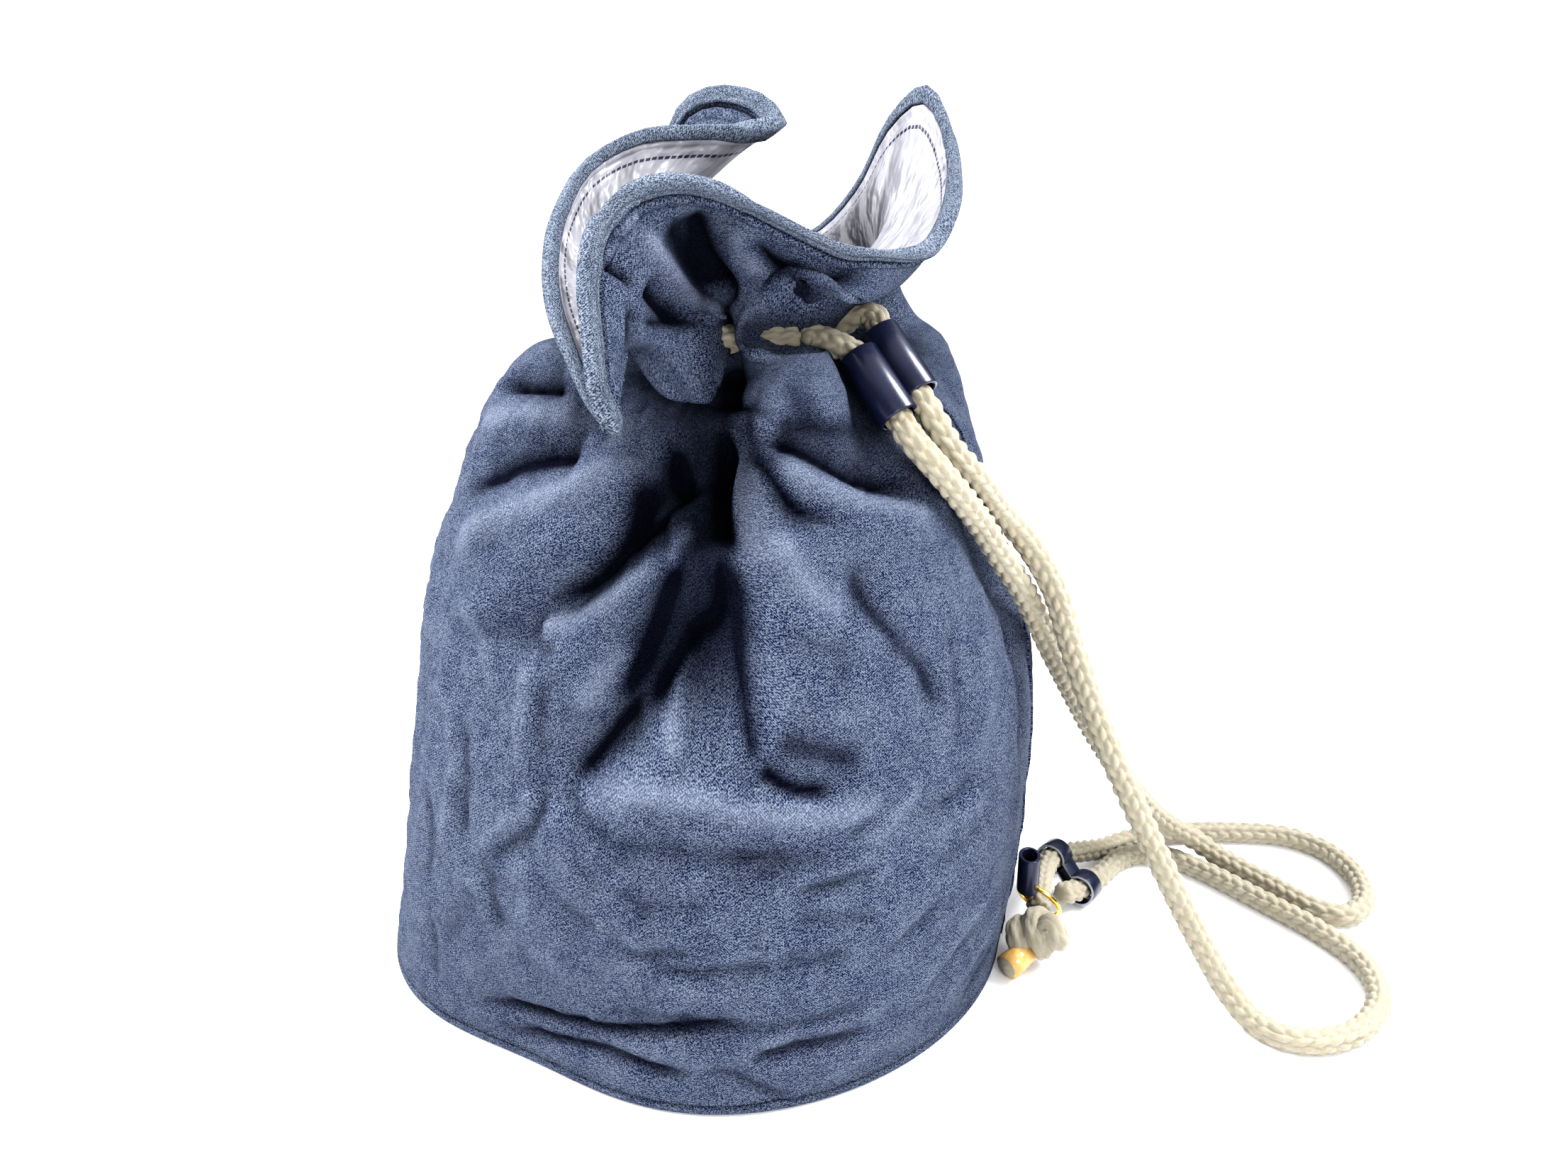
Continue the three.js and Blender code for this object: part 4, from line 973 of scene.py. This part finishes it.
# Small crumples: wave length and depth in metres, and how many waves of each
CRUMPLES = [(0.06, 0.0018, 7), (0.03, 0.0017, 10), (0.015, 0.0012, 12)]
CRUMPLE_SEED = 11
CRUMPLE_DRAWS = [(-1.2, 0, 0), (1.2, 6.28, 6.28)]


def crumple_depth(cloth, rows):
    draws = np.random.RandomState(CRUMPLE_SEED)
    turned = np.radians(cloth)[None, :]
    height = rows[:, None] / RIM_ROW * CLOTH_TALL
    bend = 0.006 * np.sin(3 * turned + 50 * height) + 0.004 * np.sin(7 * turned - 90 * height)
    depth = np.zeros((len(rows), len(cloth)))
    for length, amount, count in CRUMPLES:
        for _ in range(count):
            turn, start, patch = draws.uniform(*CRUMPLE_DRAWS)
            cycles = round(math.sin(turn) * CLOTH_ROUND / length)
            angle = turned * cycles + 2 * math.pi * math.cos(turn) * (height + bend) / length + start
            ridge = (1 - np.abs(np.sin(angle / 2 if cycles % 2 == 0 else angle))) ** 2 - 0.2
            where = smooth(np.sin(patch + 2 * turned + 30 * height * math.cos(patch)))
            depth += amount * ridge * where / count ** 0.5
    fade = smooth(rows / 0.5) * smooth((NECK_ROW - 0.6 - rows) / 1.5)
    return depth * fade[:, None]


def wall(cloth, rows):
    """The middle of the canvas with its folds, a grid of rows by places round the cloth."""
    points, out = bare_frames(cloth, rows)
    fade = smooth((NECK_ROW - rows[:, None]) / 1.2)
    push = fold_depth(cloth[None, :], points[..., 2]) * fade
    reach = np.hypot(points[..., 0], points[..., 1])
    inwards = crease_depth(points, out, cloth, rows)[0] + crumple_depth(cloth, rows)
    inwards += (hem_groove(rows) * GROOVE_DEPTH - hem_groove(rows + WELT) * WELT_HEIGHT)[:, None]
    points[..., :2] *= (1 - push / reach)[..., None]
    return points - out * inwards[..., None]


def wall_frames(cloth, rows):
    return frames_of(wall, cloth, rows)


def fine_cloth(front_step, back_step):
    """Places round the cloth, closer together in front and where the mouth turns back."""
    front = np.arange(-85, 90, front_step)
    back = np.arange(90, 275, back_step)
    turns = (MOUTH_TIP_CLOTH, FAR_FOLD_CLOTH)
    extra = [turn + away for turn in turns for away in np.arange(-4, 4.1, 0.5)]
    places = np.unique(np.round(np.mod(np.concatenate([front, back, extra]), 360), 3))
    places = places[np.concatenate([[True], np.diff(places) > 0.3])]
    return np.concatenate([places, [places[0] + 360]])


def round_uvs(cloth):
    return cloth / 360 * CLOTH_ROUND


def cloth_uvs(cloth, rows):
    return uv_grid(round_uvs(cloth), rows / RIM_ROW * CLOTH_TALL)


# Canvas wall: from which row to which its grid runs, and in how many steps
ROW_SPANS = [
    (0, 1, 15), (1, 5, 62), (5, 8, 33), (8, 9, 17), (9, 10.66, 26), (10.66, HEM_ROW, 9),
    (HEM_ROW, RIM_ROW, 3),
]
# Painted shade in the large folds: the depth at which it starts, the depth over which it grows, and its
# strength
FOLD_SHADE = dict(least=0.08, over=0.12, dark=0.9)
body_cloth = fine_cloth(0.75, 4)
body_rows = np.concatenate([np.linspace(*span, endpoint=False) for span in ROW_SPANS] + [[RIM_ROW]])
body_points = wall(body_cloth, body_rows)
# Painted shade in the creases, the large folds, the stitched groove and under its welt, and painted
# highlight on raised creases, kept on the mesh for the canvas colour
body_painted_light = crease_depth(*bare_frames(body_cloth, body_rows), body_cloth, body_rows)[1]
body_deep = fold_depth(body_cloth[None, :], body_points[..., 2]) / BASE_RADIUS
body_shade = FOLD_SHADE["dark"] * smooth((body_deep - FOLD_SHADE["least"]) / FOLD_SHADE["over"])
body_painted_light += body_shade * (body_rows < NECK_ROW)[:, None]
hem_shade = GROOVE_SHADE * hem_groove(body_rows) + WELT_SHADE * hem_groove(body_rows + 2 * WELT)
body_painted_light += hem_shade[:, None]
body_points[:, -1] = body_points[:, 0]
body_mesh = grid_mesh("canvas_wall", body_points, cloth_uvs(body_cloth, body_rows), marks=body_painted_light)
canvas_wall = piece("canvas_wall", body_mesh, navy_canvas, "canvas_body")
thicken(canvas_wall, CANVAS_THICKNESS, 0)

# White lining of the collar: it hangs a little slack, and in front it begins higher up and stands
# further back than the canvas, behind the deep folds there
LINING_LOW_ROW = 9.55
LINING_SLACK = 0.002
LINING_FRONT = dict(cloth=30, half_width=40, raised=0.42, back=0.016)
lining_rows = body_rows[body_rows >= LINING_LOW_ROW]
lining_rows[-1] = RIM_ROW - 0.01
lining_points = wall(body_cloth, lining_rows)
lining_inwards = LINING_MIDDLE - LINING_SLACK * smooth((10.75 - lining_rows) / 0.4)[:, None, None]
lining_points = lining_points + bare_frames(body_cloth, lining_rows)[1] * lining_inwards
lining_aside = turn_between(LINING_FRONT["cloth"], body_cloth) / LINING_FRONT["half_width"]
lining_front = np.exp(-lining_aside ** 4)
lining_back = LINING_FRONT["back"] * smooth((10.65 - lining_rows) / 0.3)
lining_points[..., 1] += lining_front * lining_back[:, None]
lining_share = (lining_rows - lining_rows[0]) / (lining_rows[-1] - lining_rows[0])
for column, low in enumerate(lining_rows[0] + LINING_FRONT["raised"] * lining_front):
    picks = low + lining_share * (lining_rows[-1] - low)
    for axis in range(3):
        lining_points[:, column, axis] = np.interp(picks, lining_rows, lining_points[:, column, axis])
lining_points[:, -1] = lining_points[:, 0]
lining_mesh = grid_mesh("satin_lining", lining_points, cloth_uvs(body_cloth, lining_rows))
satin_lining = piece("satin_lining", lining_mesh, white_satin, "mouth_lining")
thicken(satin_lining, LINING_THICKNESS, 0)


# Binding folded over the rim
def binding_rings(cloth):
    edges = {}
    for name, row in (("hem", HEM_ROW), ("rim", float(RIM_ROW))):
        points, _, upward, outward = wall_frames(cloth, np.array([row]))
        edges[name] = (points[0], outward[0], upward[0])
    slot_out = OUTER_FACE + CLEARANCE
    slot_in = LINING_MIDDLE - LINING_THICKNESS / 2 - CLEARANCE
    outer = slot_out + BINDING_CLOTH
    inner = slot_in - BINDING_CLOTH
    crown = CLEARANCE + BINDING_CLOTH
    turned_in = 0.0003

    def place(edge, outward, upward):
        points, out, up = edges[edge]
        return points + out * outward + up * upward

    # Which edge a point is told from, how far out it stands, and how far up, in metres from one
    # edge or as a share of the way from the hem to the rim
    profile = [
        ("hem", slot_out, 0.0),
        ("hem", (slot_out + outer) / 2, -turned_in),
        ("hem", outer, turned_in),
        ("both", outer + 0.0002, 0.3),
        ("both", outer - 0.0003, 0.42),
        ("both", outer + 0.0002, 0.55),
        ("both", outer + 0.0001, 0.85),
        ("rim", outer, CLEARANCE),
        ("rim", (2 * outer + slot_out) / 3, crown * 0.8),
        ("rim", (slot_out + slot_in) / 2, crown),
        ("rim", (2 * inner + slot_in) / 3, crown * 0.8),
        ("rim", inner, CLEARANCE),
        ("both", inner - 0.0001, 0.6),
        ("hem", inner, turned_in),
        ("hem", (slot_in + inner) / 2, -turned_in),
        ("hem", slot_in, 0.0),
        ("rim", slot_in, CLEARANCE),
        ("rim", slot_out, CLEARANCE),
    ]
    rings = []
    for edge, outward, upward in profile:
        if edge == "both":
            low = place("hem", outward, 0)
            rings.append(low + (place("rim", outward, 0) - low) * upward)
        else:
            rings.append(place(edge, outward, upward))
    return np.stack(rings + rings[:1])


BINDING_UV_TALL = 0.022
binding_places = binding_rings(body_cloth)
binding_places[:, -1] = binding_places[:, 0]
binding_uvs = uv_grid(round_uvs(body_cloth), np.linspace(0, BINDING_UV_TALL, len(binding_places)))
binding_mesh = grid_mesh("rim_binding", binding_places, binding_uvs)
rim_binding = piece("rim_binding", binding_mesh, navy_binding, "mouth_binding")


# Strips sewn on the canvas: the one beside the mouth's low tip, and the side seam
def sewn_strip(name, node, cloth, rows, stand, thickness):
    points, _, _, out = wall_frames(cloth, rows)
    middle = OUTER_FACE + stand + thickness / 2
    mesh = grid_mesh(name, points + out * middle, cloth_uvs(cloth, rows), closed=False)
    strip = piece(name, mesh, navy_canvas, node)
    thicken(strip, thickness, 0)
    soften(strip, thickness * 0.35)


patch_rows = np.linspace(HEM_ROW - PATCH_WIDTH / COLLAR_ROW, HEM_ROW - 0.02, 16)
patch_cloth = np.linspace(MOUTH_TIP_CLOTH + 3, MOUTH_TIP_CLOTH + 24, 40)
sewn_strip("tip_strip", "mouth_strip", patch_cloth, patch_rows, CLEARANCE, OUTER_FACE)
seam_half = math.degrees(SEAM_WIDTH / 2 / BASE_RADIUS)
seam_cloth = np.linspace(SIDE_SEAM_CLOTH - seam_half, SIDE_SEAM_CLOTH + seam_half, 7)
seam_rows = np.linspace(0.02, 7, 90)
sewn_strip("seam_strip", "side_seam", seam_cloth, seam_rows, SEAM_STAND, SEAM_THICKNESS)

# Piping round the foot, a little flattened, and the base
PIPING_FLATTENED = 0.94
piping_cloth = fine_cloth(1.4, 2.4)
piping_turns = np.linspace(0, 2 * math.pi, 17)
piping_radius = PIPING_DIAMETER / 2
piping_angle = np.radians(piping_cloth)[None, :]
piping_reach = base_reach(piping_cloth) - piping_radius + piping_radius * np.cos(piping_turns)[:, None]
piping_height = piping_radius - piping_radius * PIPING_FLATTENED * np.sin(piping_turns)
piping_sides = (piping_reach * np.sin(piping_angle), -piping_reach * np.cos(piping_angle))
piping_places = np.stack(np.broadcast_arrays(*piping_sides, piping_height[:, None]), -1)
piping_uvs = uv_grid(round_uvs(piping_cloth), piping_turns * piping_radius)
piping_mesh = grid_mesh("foot_piping", piping_places, piping_uvs)
piece("foot_piping", piping_mesh, navy_canvas, "base_piping")
base_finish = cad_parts["base_disc"].data.materials
base_finish.clear()
base_finish.append(navy_plain)

# The rope's run through the neck
neck_turns = np.radians(np.linspace(34, -272, 25))
neck_run = np.stack(
    [
        NECK_LEFT_SHIFT + DRAWN_RADIUS * np.sin(neck_turns),
        -NECK_FRONT_SHIFT - DRAWN_RADIUS * np.cos(neck_turns),
        np.full_like(neck_turns, NECK_HEIGHT),
    ],
    axis=-1,
)
neck_mesh = rope_mesh("rope_neck_plaited", neck_run)[0]
piece("rope_neck_plaited", neck_mesh, cream_cotton, "rope_neck")

# Leather slider: two tubes side by side round the strands
SLIDER_MIDDLES = [(0.0683, -0.0562, 0.2389), (0.0758, -0.0471, 0.2456)]
SLIDER_AHEAD = (12.4, -12.3, -17.8)
SLIDER_BORE = ROPE_DIAMETER / 2 + 0.0007
SHARP_ANGLE = 1.2


def tube_pair(name, middles, ahead, length, bore, leather):
    builder = bmesh.new()
    grow = (bore + leather) / bore
    for middle in middles:
        corners = bmesh.ops.create_circle(builder, segments=40, radius=bore, cap_ends=False)["verts"]
        edges = list({edge for vertex in corners for edge in vertex.link_edges})
        bmesh.ops.translate(builder, verts=corners, vec=(0, 0, -length / 2))
        tube = list(corners)
        for widen, climb in ((grow, 0), (1, length), (1 / grow, 0), (1, -length)):
            added = bmesh.ops.extrude_edge_only(builder, edges=edges)["geom"]
            corners = verts_in(added)
            edges = edges_in(added)
            bmesh.ops.scale(builder, verts=corners, vec=(widen, widen, 1))
            bmesh.ops.translate(builder, verts=corners, vec=(0, 0, climb))
            tube += corners
        lay_along(builder, tube, ahead)
        bmesh.ops.translate(builder, verts=tube, vec=middle)
    bmesh.ops.remove_doubles(builder, verts=builder.verts, dist=1e-6)
    sharp = [
        edge for edge in builder.edges
        if len(edge.link_faces) == 2 and edge.calc_face_angle(0) > SHARP_ANGLE
    ]
    bmesh.ops.bevel(
        builder, geom=sharp, offset=0.0004, segments=2, profile=0.5, affect="EDGES", material=-1,
        offset_type="OFFSET",
    )
    bmesh.ops.recalc_face_normals(builder, faces=builder.faces)
    return finished(builder, name)


slider_mesh = tube_pair("leather_slider", SLIDER_MIDDLES, SLIDER_AHEAD, SLIDER_LENGTH, SLIDER_BORE, LEATHER)
leather_slider = piece("leather_slider", slider_mesh, navy_leather, "slider")

# Leather keeper: a flat band bent in a figure eight round the strands and pinched between them
KEEPER_MIDDLES = [FAR_STRAND[-5], NEAR_STRAND[-3]]
KEEPER_AHEAD = (-9, -12, 1)
KEEPER_REACH = 0.0064
KEEPER_OPENING = 24
KEEPER_LEATHER = 0.0012


def figure_eight_band(name, middles, ahead, length):
    first, second = (np.array(middle, float) for middle in middles)
    ahead = unit(np.array(ahead, float))
    toward = second - first
    toward = unit(toward - ahead * np.dot(toward, ahead))
    aside = np.cross(ahead, toward)
    turns = np.radians(np.linspace(KEEPER_OPENING, 360 - KEEPER_OPENING, 33))
    loop = [KEEPER_REACH * (math.cos(turn) * toward + math.sin(turn) * aside) for turn in turns]
    places = [first + place for place in loop] + [second - place for place in loop]
    builder = bmesh.new()
    corners = [builder.verts.new(place - ahead * length / 2) for place in places]
    edges = [builder.edges.new((corners[index - 1], corner)) for index, corner in enumerate(corners)]
    far_side = verts_in(bmesh.ops.extrude_edge_only(builder, edges=edges)["geom"])
    bmesh.ops.translate(builder, verts=far_side, vec=ahead * length)
    bmesh.ops.recalc_face_normals(builder, faces=builder.faces)
    return finished(builder, name)


keeper_mesh = figure_eight_band("leather_keeper", KEEPER_MIDDLES, KEEPER_AHEAD, KEEPER_LENGTH)
leather_keeper = piece("leather_keeper", keeper_mesh, navy_leather, "keeper")
keeper_mesh.materials.append(leather_edge)
thicken(leather_keeper, KEEPER_LEATHER, 0).material_offset_rim = 1
soften(leather_keeper, 0.0003)

# Leather tab at the side seam: a band bent round and sewn down on its flat side
TAB_ROW = 1.0
tab_place = wall_frames(np.array([SIDE_SEAM_CLOTH], float), np.array([TAB_ROW]))
seam_point, seam_along, _, seam_out = (part[0, 0] for part in tab_place)
tab_stand = OUTER_FACE + CLEARANCE + SEAM_THICKNESS + 2 * CLEARANCE + TAB_REACH / 2
tab_middle = seam_point + tab_stand * seam_out
tab_builder = bmesh.new()
tab_ring = bmesh.ops.create_circle(tab_builder, segments=48, radius=1, cap_ends=False)["verts"]
bmesh.ops.scale(tab_builder, verts=tab_ring, vec=(TAB_WIDTH / 2, TAB_REACH / 2, 1))
tab_top = verts_in(bmesh.ops.extrude_edge_only(tab_builder, edges=list(tab_builder.edges))["geom"])
bmesh.ops.translate(tab_builder, verts=tab_top, vec=(0, 0, TAB_HEIGHT))
bmesh.ops.recalc_face_normals(tab_builder, faces=tab_builder.faces)
tab_turn = Matrix.Rotation(math.atan2(seam_along[1], seam_along[0]), 3, "Z")
bmesh.ops.rotate(tab_builder, verts=tab_builder.verts, cent=(0, 0, 0), matrix=tab_turn)
bmesh.ops.translate(tab_builder, verts=tab_builder.verts, vec=(tab_middle[0], tab_middle[1], TAB_FOOT))
tab = piece("seam_tab", finished(tab_builder, "seam_tab"), navy_leather, "leather_tab")
thicken(tab, LEATHER, -1)
soften(tab, 0.0004, 3)

# Brass ring
RING_AXIS = (0.6, 0.62, 0.5)
ring_builder = bmesh.new()
ring_section = bmesh.ops.create_circle(
    ring_builder, segments=14, radius=RING_WIRE / 2, cap_ends=False
)["verts"]
upright = Matrix.Rotation(math.pi / 2, 3, "X")
bmesh.ops.rotate(ring_builder, verts=ring_section, cent=(0, 0, 0), matrix=upright)
bmesh.ops.translate(ring_builder, verts=ring_section, vec=(RING_RADIUS, 0, 0))
bmesh.ops.spin(
    ring_builder, geom=ring_builder.verts[:] + ring_builder.edges[:], cent=(0, 0, 0), axis=(0, 0, 1),
    angle=2 * math.pi, steps=72, use_merge=True,
)
lay_along(ring_builder, ring_builder.verts, RING_AXIS)
bmesh.ops.translate(ring_builder, verts=ring_builder.verts, vec=FAR_STRAND[-2])
bmesh.ops.recalc_face_normals(ring_builder, faces=ring_builder.faces)
piece("seam_ring", finished(ring_builder, "seam_ring"), brass, "brass_ring")

# The knot: a short wound run of the rope
KNOT_MIDDLE = np.array([0.1405, -0.040, 0.0142])
KNOT_AXIS = unit(np.array([0.78, -0.12, 0.6]))
KNOT_TURNS = 2.1
KNOT_REACH = 0.0056
KNOT_RISE = 0.0078
KNOT_END = np.array([0.1372, -0.0432, 0.0098])
knot_side = unit(np.cross(KNOT_AXIS, (0, 0, 1.0)))
knot_over = np.cross(knot_side, KNOT_AXIS)
knot_route = []
for turn in np.linspace(0, 2 * math.pi * KNOT_TURNS, 26):
    along_axis = KNOT_RISE * (turn / (2 * math.pi) - KNOT_TURNS / 2)
    swing = KNOT_REACH * (math.cos(turn) * knot_side + math.sin(turn) * knot_over)
    knot_route.append(KNOT_MIDDLE + along_axis * KNOT_AXIS + swing)
knot_route.append(KNOT_END)
knot_mesh = rope_mesh("rope_knot_plaited", knot_route, step=0.0006, relief=0.15)[0]
knot = piece("rope_knot_plaited", knot_mesh, cream_cotton, "rope_knot")

# The rope's cut end, and the tape round it
TIP_ENDS = [(0.1353, -0.0447, 0.0086), (0.126, -0.0518, 0.0063)]


def rope_end(name, low_radius, high_radius, ahead):
    low, high = (Vector(end) for end in TIP_ENDS)
    way = high - low
    builder = bmesh.new()
    bmesh.ops.create_cone(
        builder, cap_ends=True, segments=32, radius1=low_radius, radius2=high_radius, depth=way.length
    )
    lay_along(builder, builder.verts, way)
    bmesh.ops.translate(builder, verts=builder.verts, vec=(low + high) / 2 + way.normalized() * ahead)
    return finished(builder, name)


core_mesh = rope_end("rope_tip_core", ROPE_DIAMETER / 2 - 0.0004, ROPE_DIAMETER / 2 - 0.0008, 0.0009)
tip_core = piece("rope_tip_core", core_mesh, cream_plain, "rope_tip")
tape_mesh = rope_end("rope_tip_taped", ROPE_DIAMETER / 2, ROPE_DIAMETER / 2 + 0.0003, 0)
tip = piece("rope_tip_taped", tape_mesh, amber_tape, "rope_tip")


# Studio: a pale floor that gives back a little light of its own
floor_builder = bmesh.new()
bmesh.ops.create_grid(floor_builder, x_segments=1, y_segments=1, size=6)
floor_finish, _, floor_shader = material("studio floor", 0.9)
floor_shader.inputs["Base Color"].default_value = (0.93, 0.93, 0.94, 1)
floor_shader.inputs["Emission Color"].default_value = (1, 1, 1, 1)
floor_shader.inputs["Emission Strength"].default_value = 0.1
floor_mesh = finished(floor_builder, "studio_floor")
floor_mesh.materials.append(floor_finish)
floor = bpy.data.objects.new("studio_floor", floor_mesh)
scene.collection.objects.link(floor)

# Round soft lights on both sides and in front: where each stands and aims, its width and its watts
LIGHTS = [
    dict(name="right", place=(0.85, -0.05, 0.95), aim=(0.05, 0, 0.12), size=0.55, power=12),
    dict(name="left", place=(-0.75, -0.1, 0.95), aim=(0, 0, 0.12), size=0.6, power=16),
    dict(name="front", place=(0.25, -0.9, 0.42), aim=(0.05, 0, 0.24), size=0.4, power=3.2),
]
for lamp in LIGHTS:
    data = bpy.data.lights.new(lamp["name"], "AREA")
    data.shape = "DISK"
    data.size = lamp["size"]
    data.energy = lamp["power"]
    light = bpy.data.objects.new(lamp["name"], data)
    light.location = lamp["place"]
    facing = Vector(lamp["aim"]) - Vector(lamp["place"])
    light.rotation_euler = facing.to_track_quat("-Z", "Y").to_euler()
    scene.collection.objects.link(light)

# White all round for the camera; as the light of the room it comes from above
world = bpy.data.worlds.new("studio")
scene.world = world
world.use_nodes = True
world_tree = world.node_tree
backdrop = world_tree.nodes["Background"]
backdrop.inputs["Color"].default_value = (1, 1, 1, 1)
seen = world_tree.nodes.new("ShaderNodeLightPath").outputs["Is Camera Ray"]
direction = parts_of(world_tree, world_tree.nodes.new("ShaderNodeTexCoord").outputs["Generated"])
sky = spread_node(world_tree, direction[2], 0.3, 0.95, 0.1, 1.2)
brightness = math_node(world_tree, "MAXIMUM", sky, times(world_tree, seen, 1.5))
world_tree.links.new(brightness, backdrop.inputs["Strength"])
